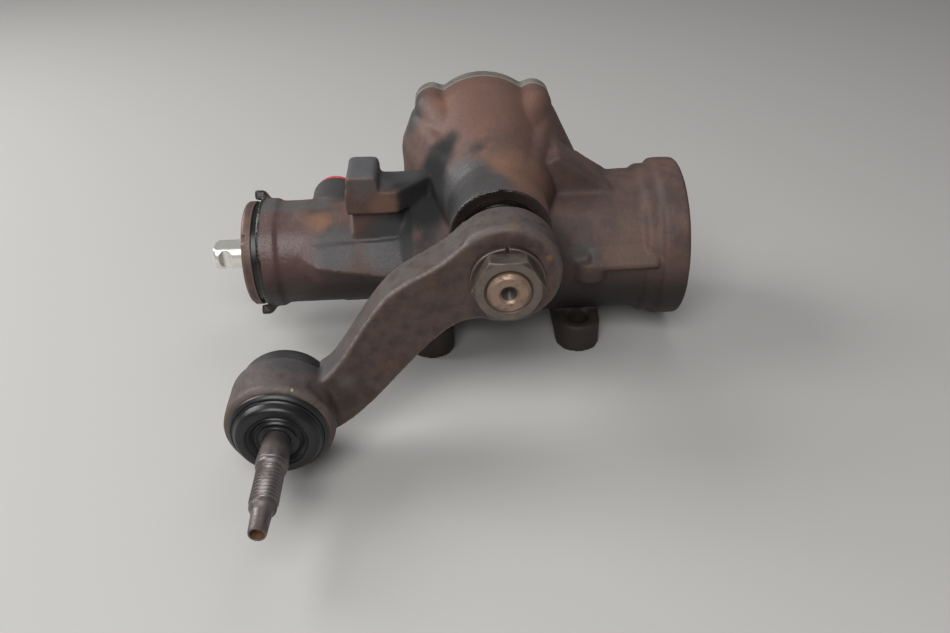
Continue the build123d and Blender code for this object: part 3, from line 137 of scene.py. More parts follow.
class Value:
    """A number in a material; Python's operators on it add Math nodes."""

    def __init__(self, paint: "Paint", socket: bpy.types.NodeSocket) -> None:
        """Keeps the socket and the paint that it belongs to."""
        self.paint = paint
        self.socket = socket

    def math(self, operation: str, *others: Number) -> "Value":
        """Adds one Math node.

        Args:
            operation: The node's operation.
            others: The operands after this one.

        Returns:
            The node's result.
        """
        return self.paint.math(operation, self, *others)

    def __add__(self, other: Number) -> "Value":
        """Sum."""
        return self.math("ADD", other)

    __radd__ = __add__

    def __sub__(self, other: Number) -> "Value":
        """Difference."""
        return self.math("SUBTRACT", other)

    def __rsub__(self, other: Number) -> "Value":
        """Difference from a plain number."""
        return self.paint.math("SUBTRACT", other, self)

    def __mul__(self, other: Number) -> "Value":
        """Product."""
        return self.math("MULTIPLY", other)

    __rmul__ = __mul__

    def __truediv__(self, other: Number) -> "Value":
        """Quotient."""
        return self.math("DIVIDE", other)

    def __or__(self, other: Number) -> "Value":
        """The larger of the two, which joins two masks."""
        return self.math("MAXIMUM", other)

    def step(self, low: float, high: float) -> "Value":
        """Rises smoothly from 0 to 1, or falls where low is above high.

        Args:
            low: Where the result is 0.
            high: Where the result is 1.

        Returns:
            The result.
        """
        inputs = {"Value": self, "From Min": min(low, high), "From Max": max(low, high)}
        if low > high:
            inputs.update({"To Min": 1.0, "To Max": 0.0})
        made = self.paint.node("ShaderNodeMapRange", {"interpolation_type": "SMOOTHSTEP"}, inputs)
        return Value(self.paint, made.outputs["Result"])


Tint = Union[Colour, bpy.types.NodeSocket]


class Nodes:
    """A node tree, and the one way in which nodes are added to it."""

    def __init__(self, tree: bpy.types.NodeTree) -> None:
        """Empties the tree.

        Args:
            tree: The tree that Blender made.
        """
        self.tree = tree
        self.tree.nodes.clear()

    def node(self, kind: str, settings: dict | None = None, inputs: dict | None = None) -> bpy.types.Node:
        """Adds any node.

        Args:
            kind: The node's type.
            settings: Its own settings, which are set first.
            inputs: Values or links of its sockets, by name, identifier or number.

        Returns:
            The node.
        """
        made = self.tree.nodes.new(kind)
        for key, value in (settings or {}).items():
            setattr(made, key, value)
        for key, value in (inputs or {}).items():
            socket = self._socket(made, key)
            if isinstance(value, Value):
                self.tree.links.new(value.socket, socket)
            elif isinstance(value, bpy.types.NodeSocket):
                self.tree.links.new(value, socket)
            elif isinstance(value, tuple) and socket.type == "RGBA":
                socket.default_value = (*value, 1.0)
            else:
                socket.default_value = value
        return made

    @staticmethod
    def _socket(node: bpy.types.Node, key: str | int) -> bpy.types.NodeSocket:
        """Finds an input.

        Args:
            node: The node.
            key: The input's number, identifier or name.

        Returns:
            The socket.
        """
        if isinstance(key, int):
            return node.inputs[key]
        for socket in node.inputs:
            if socket.identifier == key:
                return socket
        return node.inputs[key]


class Paint(Nodes):
    """The node tree of one material."""

    def __init__(self, name: str) -> None:
        """Starts an empty material.

        Args:
            name: The material's name.
        """
        self.material = bpy.data.materials.new(name)
        self.material.use_nodes = True
        super().__init__(self.material.node_tree)
        self.place = self.node("ShaderNodeTexCoord").outputs["Object"]

    def math(self, operation: str, *operands: Number) -> Value:
        """Adds a Math node on any operands."""
        made = self.node("ShaderNodeMath", {"operation": operation}, dict(enumerate(operands)))
        return Value(self, made.outputs[0])

    def axis(self, letter: str) -> Value:
        """One coordinate of the surface, in metres."""
        made = self.node("ShaderNodeSeparateXYZ", None, {"Vector": self.place})
        return Value(self, made.outputs[letter])

    def noise(self, grain_mm: float, seed: float, detail: float, stretch: Point | None = None) -> Value:
        """Soft random values from 0 to 1.

        Args:
            grain_mm: Size of one lump in millimetres.
            seed: Picks another pattern.
            detail: How many finer layers are added.
            stretch: Scale of the pattern along each axis.

        Returns:
            The value.
        """
        vector = self.place
        if stretch:
            vector = self.node("ShaderNodeMapping", None, {"Vector": self.place, "Scale": stretch}).outputs[0]
        made = self.node("ShaderNodeTexNoise", {"noise_dimensions": "4D"}, {
            "Vector": vector, "W": seed, "Scale": 1.0 / (grain_mm * MM), "Detail": detail, "Roughness": 0.55})
        return Value(self, made.outputs[0])

    def specks(self, spacing_mm: float, radius_mm: float, seed: float, share: float) -> Value:
        """Small round marks.

        Args:
            spacing_mm: Mean distance between marks.
            radius_mm: Radius of a mark.
            seed: Moves the pattern.
            share: Share of the cells that hold a mark.

        Returns:
            1 inside a mark and 0 elsewhere.
        """
        moved = self.node("ShaderNodeMapping", None, {"Vector": self.place, "Location": (seed, seed, seed)})
        made = self.node("ShaderNodeTexVoronoi", None, {
            "Vector": moved.outputs[0], "Scale": 1.0 / (spacing_mm * MM)})
        edge = radius_mm / spacing_mm
        inside = Value(self, made.outputs["Distance"]).step(edge, 0.6 * edge)
        picked = self.node("ShaderNodeSeparateColor", None, {0: made.outputs["Color"]})
        return inside * Value(self, picked.outputs[0]).step(share, share - 0.01)

    def near(self, centre: Point, radius: float, blur: float, wander: float = 0.0,
             seed: float = 0.0) -> Value:
        """A soft ball-shaped mask.

        Args:
            centre: Its middle, in millimetres.
            radius: Its radius in millimetres.
            blur: Width of its edge in millimetres.
            wander: How far its edge wanders, in millimetres.
            seed: Picks another edge.

        Returns:
            1 inside and 0 outside.
        """
        made = self.node("ShaderNodeVectorMath", {"operation": "DISTANCE"}, {
            0: self.place, 1: tuple(value * MM for value in centre)})
        distance = Value(self, made.outputs["Value"]) / MM
        if wander:
            distance = distance + (self.noise(9.0, seed, detail=4.0) - 0.5) * (2.0 * wander)
        return distance.step(radius + blur / 2, radius - blur / 2)

    def masks(self, zones: Sequence[Zone], first_seed: float = 3.7) -> Iterator[tuple[Zone, Value]]:
        """Gives each zone with its mask.

        Args:
            zones: The zones.
            first_seed: Picks the edge of the first one; each has another.

        Yields:
            A zone, and a mask that is 1 or its share inside and 0 outside.
        """
        for index, zone in enumerate(zones):
            mask = self.near(zone.centre, zone.radius, zone.blur, zone.wander, first_seed + index)
            yield zone, mask * zone.share

    def mix(self, factor: Number, first: Tint, second: Tint) -> bpy.types.NodeSocket:
        """Mixes two colours.

        Args:
            factor: 0 gives the first and 1 the second.
            first: A colour or a link.
            second: A colour or a link.

        Returns:
            The mixed colour.
        """
        made = self.node("ShaderNodeMix", {"data_type": "RGBA"}, {
            "Factor_Float": factor, "A_Color": first, "B_Color": second})
        return next(socket for socket in made.outputs if socket.identifier == "Result_Color")

    def facing_up(self) -> Value:
        """1 where the piece's own surface faces up, 0 at its sides and -1 below."""
        normal = self.node("ShaderNodeTexCoord").outputs["Normal"]
        return Value(self, self.node("ShaderNodeSeparateXYZ", None, {"Vector": normal}).outputs["Z"])

    def worn_edge(self, low: float, high: float) -> Value:
        """1 on outer edges, where handling has rubbed the surface."""
        return Value(self, self.node("ShaderNodeNewGeometry").outputs["Pointiness"]).step(low, high)

    def bump(self, layers: Sequence[tuple[Value, float]]) -> bpy.types.NodeSocket:
        """Stacks bump layers.

        Args:
            layers: Pairs of a height from 0 to 1 and its depth in millimetres.

        Returns:
            The normal.
        """
        normal = None
        for height, depth in layers:
            inputs = {"Height": height, "Distance": depth * MM, "Strength": 1.0}
            if normal is not None:
                inputs["Normal"] = normal
            normal = self.node("ShaderNodeBump", None, inputs).outputs["Normal"]
        return normal

    def finish(self, colour: Tint, roughness: Number, metallic: Number = 0.0,
               normal: bpy.types.NodeSocket | None = None, **fixed: float) -> bpy.types.Material:
        """Ends the tree in one shader.

        Args:
            colour: Base colour.
            roughness: Roughness.
            metallic: Metallic share.
            normal: The bumped normal, where there is one.
            fixed: Other sockets of the shader, which are the same all over.

        Returns:
            The material.
        """
        inputs = {"Base Color": colour, "Roughness": roughness, "Metallic": metallic}
        inputs.update({key.replace("_", " "): value for key, value in fixed.items()})
        if normal is not None:
            inputs["Normal"] = normal
        shader = self.node("ShaderNodeBsdfPrincipled", None, inputs)
        self.node("ShaderNodeOutputMaterial", None, {"Surface": shader.outputs[0]})
        return self.material


@dataclass(frozen=True)
class Zone:
    """A place on a piece that has another colour."""

    centre: Point
    radius: float
    blur: float
    wander: float
    colour: Colour
    roughness: float
    share: float = 1.0


@dataclass(frozen=True)
class CastIron:
    """Sand-cast iron under thin rust and road grime, darker towards the bottom and on faces that look down,
    with sooty grime and painted shade.
    """

    name: str
    rust: Colour = (0.098, 0.054, 0.043)
    bright_rust: Colour = (0.150, 0.074, 0.046)
    grime: Colour = (0.058, 0.037, 0.032)
    soot_and_shade: Colour = (0.012, 0.0088, 0.0076)
    speck: Colour = (0.40, 0.37, 0.34)
    roughness: float = 0.60
    zones: tuple[Zone, ...] = ()
    soot_and_shade_z: tuple[float, float] = (68.0, 40.0)
    lit_feet_z: tuple[float, float] = (30.0, 20.0)
    underside_shade: float = 0.80
    greasy_ends: tuple[tuple[str, float], ...] = ()

    def make(self) -> bpy.types.Material:
        """Builds the material.

        Returns:
            The material.
        """
        paint = Paint(self.name)
        broad = paint.noise(34.0, seed=1.3, detail=4.0)
        patch = paint.noise(11.0, seed=5.1, detail=5.0)
        grain = paint.noise(1.3, seed=2.2, detail=4.0)
        fine = paint.noise(0.45, seed=8.4, detail=2.0)
        colour = paint.mix(patch.step(0.35, 0.68), self.rust, self.grime)
        colour = paint.mix(broad.step(0.50, 0.66) * patch.step(0.56, 0.40), colour, self.bright_rust)
        roughness = self.roughness + (grain - 0.5) * 0.22
        for zone, mask in paint.masks(self.zones):
            colour = paint.mix(mask, colour, zone.colour)
            roughness = roughness + mask * (zone.roughness - self.roughness)
        colour = paint.mix((grain.step(0.52, 0.75) * 0.35), colour, self.grime)
        edge = paint.worn_edge(0.53, 0.62) * 0.30 * patch.step(0.40, 0.55)
        colour = paint.mix(edge, colour, self.bright_rust)
        # Darker towards the bottom: sooty grime and painted shade on the low parts.
        low = (paint.axis("Z") + (patch - 0.5) * 0.02).step(self.soot_and_shade_z[0] * MM, self.soot_and_shade_z[1] * MM) * 0.92
        # Painted light: the low darkening is lifted a little at the feet, whose tops catch the light.
        low = low - paint.axis("Z").step(self.lit_feet_z[0] * MM, self.lit_feet_z[1] * MM) * 0.30
        for letter, limit in self.greasy_ends:
            end = (paint.axis(letter) + (patch - 0.5) * 0.002).step((limit + 1.0) * MM, limit * MM)
            roughness = roughness - end * 0.22
            low = low | end * 0.92
        # Painted shade on faces that look down.
        underside_shade_mask = (paint.facing_up() + (patch - 0.5) * 0.5).step(-0.05, -0.85) * self.underside_shade
        colour = paint.mix(low | underside_shade_mask, colour, self.soot_and_shade)
        dust = paint.specks(7.0, 0.30, seed=0.4, share=0.35)
        colour = paint.mix(dust * 0.8, colour, self.speck)
        normal = paint.bump(((grain, 0.28), (fine, 0.09), (dust, 0.15)))
        return paint.finish(colour, roughness, normal=normal, Specular_IOR_Level=0.45)


@dataclass(frozen=True)
class ForgedSteel:
    """Forged steel with a brown oxide skin, lighter where it was rubbed."""

    name: str
    skin: Colour = (0.080, 0.050, 0.041)
    dark: Colour = (0.047, 0.030, 0.026)
    rubbed: Colour = (0.170, 0.134, 0.116)
    rust: Colour = (0.150, 0.066, 0.030)
    roughness: float = 0.58
    metallic: float = 0.12
    rust_share: float = 0.25
    edges: float = 0.8
    upper: Colour = (0.080, 0.070, 0.068)
    upper_share: float = 0.0
    zones: tuple[Zone, ...] = ()

    def make(self) -> bpy.types.Material:
        """Builds the material.

        Returns:
            The material.
        """
        paint = Paint(self.name)
        broad = paint.noise(26.0, seed=4.0, detail=4.0)
        patch = paint.noise(7.0, seed=7.7, detail=5.0)
        grain = paint.noise(0.9, seed=1.9, detail=4.0)
        pits = paint.specks(2.6, 0.42, seed=1.1, share=0.5)
        colour = paint.mix(patch.step(0.36, 0.66), self.skin, self.dark)
        colour = paint.mix(broad.step(0.52, 0.70) * self.rust_share, colour, self.rust)
        if self.upper_share:
            upper = paint.facing_up().step(0.30, 0.75) * patch.step(0.75, 0.35)
            colour = paint.mix(upper * self.upper_share, colour, self.upper)
        for zone, mask in paint.masks(self.zones):
            colour = paint.mix(mask, colour, zone.colour)
        colour = paint.mix(grain.step(0.48, 0.72) * 0.5, colour, self.dark)
        edge = paint.worn_edge(0.503, 0.545) * self.edges * (patch * 0.9 + grain * 0.5).step(0.38, 0.80)
        colour = paint.mix(edge, colour, self.rubbed)
        colour = paint.mix(pits * 0.6, colour, self.dark)
        roughness = self.roughness + (grain - 0.5) * 0.25
        normal = paint.bump(((grain, 0.16), (pits * -1.0, 0.12)))
        return paint.finish(colour, roughness, self.metallic, normal)


@dataclass(frozen=True)
class Steel:
    """Machined steel with turning marks, an oily film and some rust, and a darker hole where a pit is given.
    """

    name: str
    base: Colour
    stain: Colour
    roughness: float = 0.32
    metallic: float = 0.9
    stain_share: float = 0.3
    marks: Along = Along.WORM
    mark_depth: float = 0.02
    grain_mm: float = 5.0
    rust: Colour = (0.20, 0.075, 0.025)
    rust_specks: float = 0.0
    pit: Point | None = None
    pit_r: float = 4.6
    dark_inside: Colour = (0.012, 0.009, 0.008)

    def make(self) -> bpy.types.Material:
        """Builds the material.

        Returns:
            The material.
        """
        paint = Paint(self.name)
        cloud = paint.noise(self.grain_mm, seed=3.3, detail=5.0)
        fine = paint.noise(0.5, seed=6.1, detail=3.0)
        stretch = tuple(9.0 if part else 0.6 for part in self.marks.value)
        lines = paint.noise(2.0, seed=9.0, detail=3.0, stretch=stretch)
        stained = cloud.step(0.62 - 0.35 * self.stain_share, 0.80 - 0.35 * self.stain_share)
        colour = paint.mix(stained, self.base, self.stain)
        metallic = self.metallic * (1.0 - stained * 0.55)
        roughness = self.roughness + stained * 0.25 + (lines - 0.5) * 0.16
        if self.rust_specks:
            spots = paint.noise(1.6, seed=12.5, detail=3.0).step(0.60, 0.70) * cloud.step(0.42, 0.55)
            spots = spots * self.rust_specks
            colour = paint.mix(spots, colour, self.rust)
            metallic = metallic * (1.0 - spots)
            roughness = roughness + spots * 0.3
        # The hole round pit is darkened and loses its metal look: painted shade in the centre hole of the
        # pitman shaft, rust inside the stud's hollow tip.
        if self.pit:
            inside = paint.near(self.pit, self.pit_r, 0.6)
            colour = paint.mix(inside * 0.9, colour, self.dark_inside)
            metallic = metallic * (1.0 - inside)
        normal = paint.bump(((lines, self.mark_depth), (fine, self.mark_depth * 0.8)))
        return paint.finish(colour, roughness, metallic, normal)


@dataclass(frozen=True)
class Rubber:
    """Black rubber with a greasy sheen and some dust."""

    name: str
    base: Colour = (0.006, 0.006, 0.007)
    dusty: Colour = (0.026, 0.024, 0.023)
    roughness: float = 0.34
    dust_share: float = 0.15
    texture: float = 0.02
    waves: float = 0.05

    def make(self) -> bpy.types.Material:
        """Builds the material.

        Returns:
            The material.
        """
        paint = Paint(self.name)
        cloud = paint.noise(6.0, seed=2.5, detail=5.0)
        fine = paint.noise(0.7, seed=5.5, detail=3.0)
        colour = paint.mix(cloud.step(0.45, 0.8) * self.dust_share, self.base, self.dusty)
        roughness = self.roughness + (cloud - 0.5) * 0.22 + (fine - 0.5) * 0.08
        normal = paint.bump(((fine, self.texture), (cloud, self.waves)))
        return paint.finish(colour, roughness, normal=normal)


@dataclass(frozen=True)
class Painted:
    """Paint or moulded plastic with a slight texture and dirt."""

    name: str
    base: Colour
    dirt: Colour
    roughness: float = 0.45
    dirt_share: float = 0.4
    texture: float = 0.05
    waves: float = 0.08

    def make(self) -> bpy.types.Material:
        """Builds the material.

        Returns:
            The material.
        """
        paint = Paint(self.name)
        cloud = paint.noise(8.0, seed=1.5, detail=5.0)
        fine = paint.noise(0.6, seed=4.5, detail=3.0)
        colour = paint.mix(cloud.step(0.48, 0.75) * self.dirt_share, self.base, self.dirt)
        roughness = self.roughness + (cloud - 0.5) * 0.25 + (fine - 0.5) * 0.1
        normal = paint.bump(((fine, self.texture), (cloud, self.waves)))
        return paint.finish(colour, roughness, normal=normal)


def linked(name: str, data: bpy.types.ID) -> bpy.types.Object:
    """Puts a mesh, a lamp or a camera into the scene.

    Args:
        name: Name of the object.
        data: What it holds.

    Returns:
        The object.
    """
    made = bpy.data.objects.new(name, data)
    bpy.context.scene.collection.objects.link(made)
    return made


def new_piece(name: str, points: Sequence, faces: Sequence) -> bpy.types.Object:
    """Makes a mesh object at the origin.

    Args:
        name: Name of the piece.
        points: Its vertices in metres.
        faces: Its faces.

    Returns:
        The object, linked to the scene.
    """
    mesh = bpy.data.meshes.new(name)
    mesh.from_pydata([tuple(point) for point in points], [], faces)
    mesh.update()
    return linked(name, mesh)


@contextmanager
def edited(mesh: bpy.types.Mesh) -> Iterator[bmesh.types.BMesh]:
    """Opens a mesh for editing and writes it back.

    Args:
        mesh: The mesh.

    Yields:
        The editable mesh.
    """
    work = bmesh.new()
    work.from_mesh(mesh)
    yield work
    work.to_mesh(mesh)
    work.free()


def evaluated(piece: bpy.types.Object) -> bpy.types.Mesh:
    """The mesh that the modifiers of a piece make."""
    graph = bpy.context.evaluated_depsgraph_get()
    return bpy.data.meshes.new_from_object(piece.evaluated_get(graph))


def baked(holder: bpy.types.Object, name: str) -> bpy.types.Object:
    """Makes a plain object from one with modifiers.

    Args:
        holder: The object with modifiers, which is removed.
        name: Name of the plain one.

    Returns:
        The plain object.
    """
    mesh = evaluated(holder)
    bpy.data.objects.remove(holder)
    mesh.name = name
    return linked(name, mesh)


def apply_modifiers(piece: bpy.types.Object) -> None:
    """Gives a piece the mesh that its modifiers make, and takes them off."""
    full = piece.data
    piece.data = evaluated(piece)
    piece.modifiers.clear()
    bpy.data.meshes.remove(full)


def tidy_mesh(piece: bpy.types.Object, sharp: float = 40.0) -> bpy.types.Object:
    """Merges doubles, turns the faces outwards and shades the piece.

    Args:
        piece: The object.
        sharp: Edges that turn by more degrees than this stay sharp.

    Returns:
        The same object.
    """
    with edited(piece.data) as work:
        bmesh.ops.remove_doubles(work, verts=work.verts, dist=SAME_PLACE)
        bmesh.ops.recalc_face_normals(work, faces=work.faces)
    piece.data.shade_smooth()
    piece.data.set_sharp_from_angle(angle=math.radians(sharp))
    return piece


def rounded(outline: Outline, steps: int = 5) -> list[tuple[float, float]]:
    """Rounds the corners of an outline.

    Args:
        outline: Station, radius and, where a corner is rounded, its rounding; all in millimetres.
        steps: Points on each rounded corner.

    Returns:
        The outline's points.
    """
    made: list[tuple[float, float]] = []
    count = len(outline)
    for index, corner in enumerate(outline):
        here = np.array(corner[:2], float)
        size = corner[2] if len(corner) > 2 else 0.0
        if not size or index in (0, count - 1):
            made.append(tuple(here))
            continue
        before = np.array(outline[index - 1][:2], float) - here
        after = np.array(outline[index + 1][:2], float) - here
        shorter = min(np.linalg.norm(before), np.linalg.norm(after))
        reach = min(size, EDGE_SHARE * shorter)
        start = here + before / np.linalg.norm(before) * reach
        end = here + after / np.linalg.norm(after) * reach
        for step in range(steps + 1):
            t = step / steps
            made.append(tuple((1 - t) ** 2 * start + 2 * t * (1 - t) * here + t ** 2 * end))
    return made


def ring_faces(rows: int, segments: int) -> list[tuple[int, int, int, int]]:
    """Faces between rings of vertices, the last of which is joined to the first.

    Args:
        rows: How many rings there are.
        segments: Vertices in each ring.

    Returns:
        The faces.
    """
    faces = []
    for row in range(rows):
        here, next_row = row * segments, (row + 1) % rows * segments
        for step in range(segments):
            turn = (step + 1) % segments
            faces.append((here + step, here + turn, next_row + turn, next_row + step))
    return faces


def lathe(name: str, origin: Point, along: Along, outline: Outline, segments: int = 120) -> bpy.types.Object:
    """Turns an outline about a line.

    Args:
        name: Name of the piece.
        origin: A point of the line, in millimetres; the station along the line isn't added to it.
        along: The line's direction.
        outline: Station, radius and rounding, round a closed section.
        segments: Steps round the line.

    Returns:
        The turned object.
    """
    points = rounded([*outline, outline[0]])[:-1]
    direction = np.array(along.value)
    side = np.array((0.0, 0.0, 1.0))
    other = np.cross(direction, side)
    base = np.array(origin) * (1 - direction)
    angles = np.linspace(0, 2 * math.pi, segments, endpoint=False)
    rings = [[base + direction * station + radius * (math.cos(angle) * side + math.sin(angle) * other)
              for angle in angles] for station, radius in points]
    vertices = np.array(rings).reshape(-1, 3) * MM
    made = new_piece(name, vertices, ring_faces(len(points), segments))
    with edited(made.data) as work:
        bmesh.ops.remove_doubles(work, verts=work.verts, dist=SAME_PLACE)
        bmesh.ops.dissolve_degenerate(work, dist=SAME_PLACE / 10, edges=work.edges)
    return tidy_mesh(made)


@dataclass(frozen=True)
class Wear:
    """What happens to the surface of a solid, in millimetres.

    Attributes:
        voxel: Size of the new mesh's faces.
        passes: How often the surface is evened out.
        lumps: Height of broad unevenness.
        lump_size: Width of that unevenness.
        grain: Height of fine unevenness.
    """

    voxel: float
    passes: int
    lumps: float = 0.0
    lump_size: float = 10.0
    grain: float = 0.0


def worn_copy(node: bpy.types.Object, name: str, wear: Wear, keep: Keep | None = None) -> bpy.types.Object:
    """Copies a solid with the soft edges of a casting, a forging or a used part.

    Args:
        node: The frame's solid.
        name: Name of the new piece.
        wear: What happens to its surface.
        keep: Gives each vertex, from its place in millimetres, 1 where it stays crisp.

    Returns:
        The new piece.
    """
    source = linked("source", node.data.copy())
    with edited(source.data) as work:
        bmesh.ops.remove_doubles(work, verts=work.verts, dist=SAME_PLACE)
    remesh = source.modifiers.new("remesh", "REMESH")
    remesh.mode = "VOXEL"
    remesh.voxel_size = wear.voxel * MM
    remesh.adaptivity = 0.0
    made = baked(source, name)
    made.data.materials.clear()
    even_out(made.data, wear, keep)
    thin_out(made)
    return tidy_mesh(made, sharp=55.0)


def even_out(mesh: bpy.types.Mesh, wear: Wear, keep: Keep | None) -> None:
    """Smooths a mesh where it isn't kept crisp, then adds unevenness along its normals.

    Args:
        mesh: The mesh.
        wear: What happens to it.
        keep: Gives each vertex, from its place in millimetres, 1 where it stays crisp.
    """
    count = len(mesh.vertices)
    places = np.empty(count * 3)
    mesh.vertices.foreach_get("co", places)
    places = places.reshape(-1, 3) / MM
    ends = np.empty(len(mesh.edges) * 2, np.int64)
    mesh.edges.foreach_get("vertices", ends)
    first, second = ends.reshape(-1, 2).T
    degree = np.bincount(np.concatenate((first, second)), minlength=count).clip(1)[:, None]
    soft = 1.0 - (keep(places) if keep else np.zeros(count))
    for _ in range(wear.passes):
        total = np.empty_like(places)
        for part in range(3):
            total[:, part] = (np.bincount(first, places[second, part], count)
                              + np.bincount(second, places[first, part], count))
        places += EVENING * soft[:, None] * (total / degree - places)
    mesh.vertices.foreach_set("co", (places * MM).ravel())
    mesh.update()
    if not wear.lumps and not wear.grain:
        return
    normals = np.empty(count * 3)
    mesh.vertices.foreach_get("normal", normals)
    normals = normals.reshape(-1, 3)
    rise = np.array([
        wear.lumps * noise.noise(place / wear.lump_size) + wear.grain * noise.noise(place * GRAINS_PER_MM)
        for place in map(Vector, places.tolist())])
    places += normals * (rise * soft)[:, None]
    mesh.vertices.foreach_set("co", (places * MM).ravel())
    mesh.update()


def thin_out(piece: bpy.types.Object) -> None:
    """Joins faces where the surface is flattest, until there are few enough for one piece."""
    triangles = sum(len(face.vertices) - 2 for face in piece.data.polygons)
    if triangles <= MOST_TRIANGLES:
        return
    thinner = piece.modifiers.new("thinner", "DECIMATE")
    thinner.ratio = MOST_TRIANGLES / triangles
    apply_modifiers(piece)


class Recipe(Nodes):
    """A Geometry Nodes tree with named sizes."""

    def __init__(self, name: str) -> None:
        """Starts an empty tree.

        Args:
            name: The tree's name.
        """
        super().__init__(bpy.data.node_groups.new(name, "GeometryNodeTree"))
        self.tree.interface.new_socket(name="Geometry", in_out="OUTPUT", socket_type="NodeSocketGeometry")
        self.entry = self.node("NodeGroupInput")
        self.sizes: dict[str, float] = {}

    def size(self, name: str, value_mm: float) -> bpy.types.NodeSocket:
        """Adds a named size.

        Args:
            name: Its name.
            value_mm: What the modifier sets it to, in millimetres.

        Returns:
            The socket to link from, which gives metres.
        """
        item = self.tree.interface.new_socket(name=name, in_out="INPUT", socket_type="NodeSocketFloat")
        self.sizes[item.identifier] = value_mm * MM
        return self.entry.outputs[name]

    def math(self, operation: str, *operands: Union[bpy.types.NodeSocket, float]) -> bpy.types.NodeSocket:
        """Adds a Math node and gives its result."""
        return self.node("ShaderNodeMath", {"operation": operation}, dict(enumerate(operands))).outputs[0]

    def bake(self, name: str, geometry: bpy.types.NodeSocket,
             material: bpy.types.Material) -> bpy.types.Object:
        """Ends the tree and turns it into a plain mesh.

        Args:
            name: Name of the piece.
            geometry: The geometry that the tree made.
            material: The piece's material.

        Returns:
            The piece, with no modifier left.
        """
        real = self.node("GeometryNodeRealizeInstances", None, {0: geometry})
        painted = self.node("GeometryNodeSetMaterial", None, {
            "Geometry": real.outputs[0], "Material": material})
        self.node("NodeGroupOutput", None, {0: painted.outputs[0]})
        holder = new_piece(name, [], [])
        modifier = holder.modifiers.new("recipe", "NODES")
        modifier.node_group = self.tree
        for identifier, value in self.sizes.items():
            modifier[identifier] = value
        return baked(holder, name)


class Assembly:
    """What every sub-assembly needs: the frame's solids, its axes and a way to hand over a piece."""

    def __init__(self, frame: dict, axes: Axes) -> None:
        """Keeps the frame.

        Args:
            axes: The lines of the mechanism.
        """
        self.nodes = frame["nodes"]
        self.axes = axes

    def give(self, piece: bpy.types.Object, material: bpy.types.Material, body: Body, slot: str,
             *replaced: str) -> bpy.types.Object:
        """Paints a finished piece and lets it ride on its body.

        Args:
            piece: The piece.
            material: Its material.
            body: The body that it moves with.
            slot: The record's material slot, which is not used.
            replaced: The solids that it stands for.

        Returns:
            The piece.
        """
        piece.data.materials.clear()
        piece.data.materials.append(material)
        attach(piece, body.value)
        if replaced:
            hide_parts(*replaced)
        LOG.info("%s rides on %s, %d faces", piece.name, body.value, len(piece.data.polygons))
        return piece

    def wear(self, solid: str, name: str, wear: Wear, material: bpy.types.Material, body: Body, slot: str,
             keep: Keep | None = None) -> None:
        """Puts a worn copy in the place of a solid.

        Args:
            solid: The frame's solid.
            name: Name of the new piece.
            wear: What happens to its surface.
            material: Its material.
            body: The body that it moves with.
            slot: The record's material slot, which is not used.
            keep: Where it stays crisp, as for worn_copy.
        """
        self.give(worn_copy(self.nodes[solid], name, wear, keep), material, body, slot, solid)

    def dress(self, material: bpy.types.Material, *names: str) -> None:
        """Gives the frame's own solids a material.

        Args:
            material: The material.
            names: The solids.
        """
        for name in names:
            mesh = self.nodes[name].data
            mesh.materials.clear()
            mesh.materials.append(material)
        LOG.info("%s on %s", material.name, ", ".join(names))


def beyond(places: np.ndarray, part: int, limit: float, blur: float) -> np.ndarray:
    """1 where a coordinate is above a limit, with a soft edge; a negative blur turns it round."""
    return np.clip((places[:, part] - limit) / blur + 0.5, 0, 1)


def from_line(places: np.ndarray, point: Point) -> np.ndarray:
    """Distance of each place from the line along Y through a point."""
    return np.hypot(places[:, 0] - point[0], places[:, 2] - point[2])


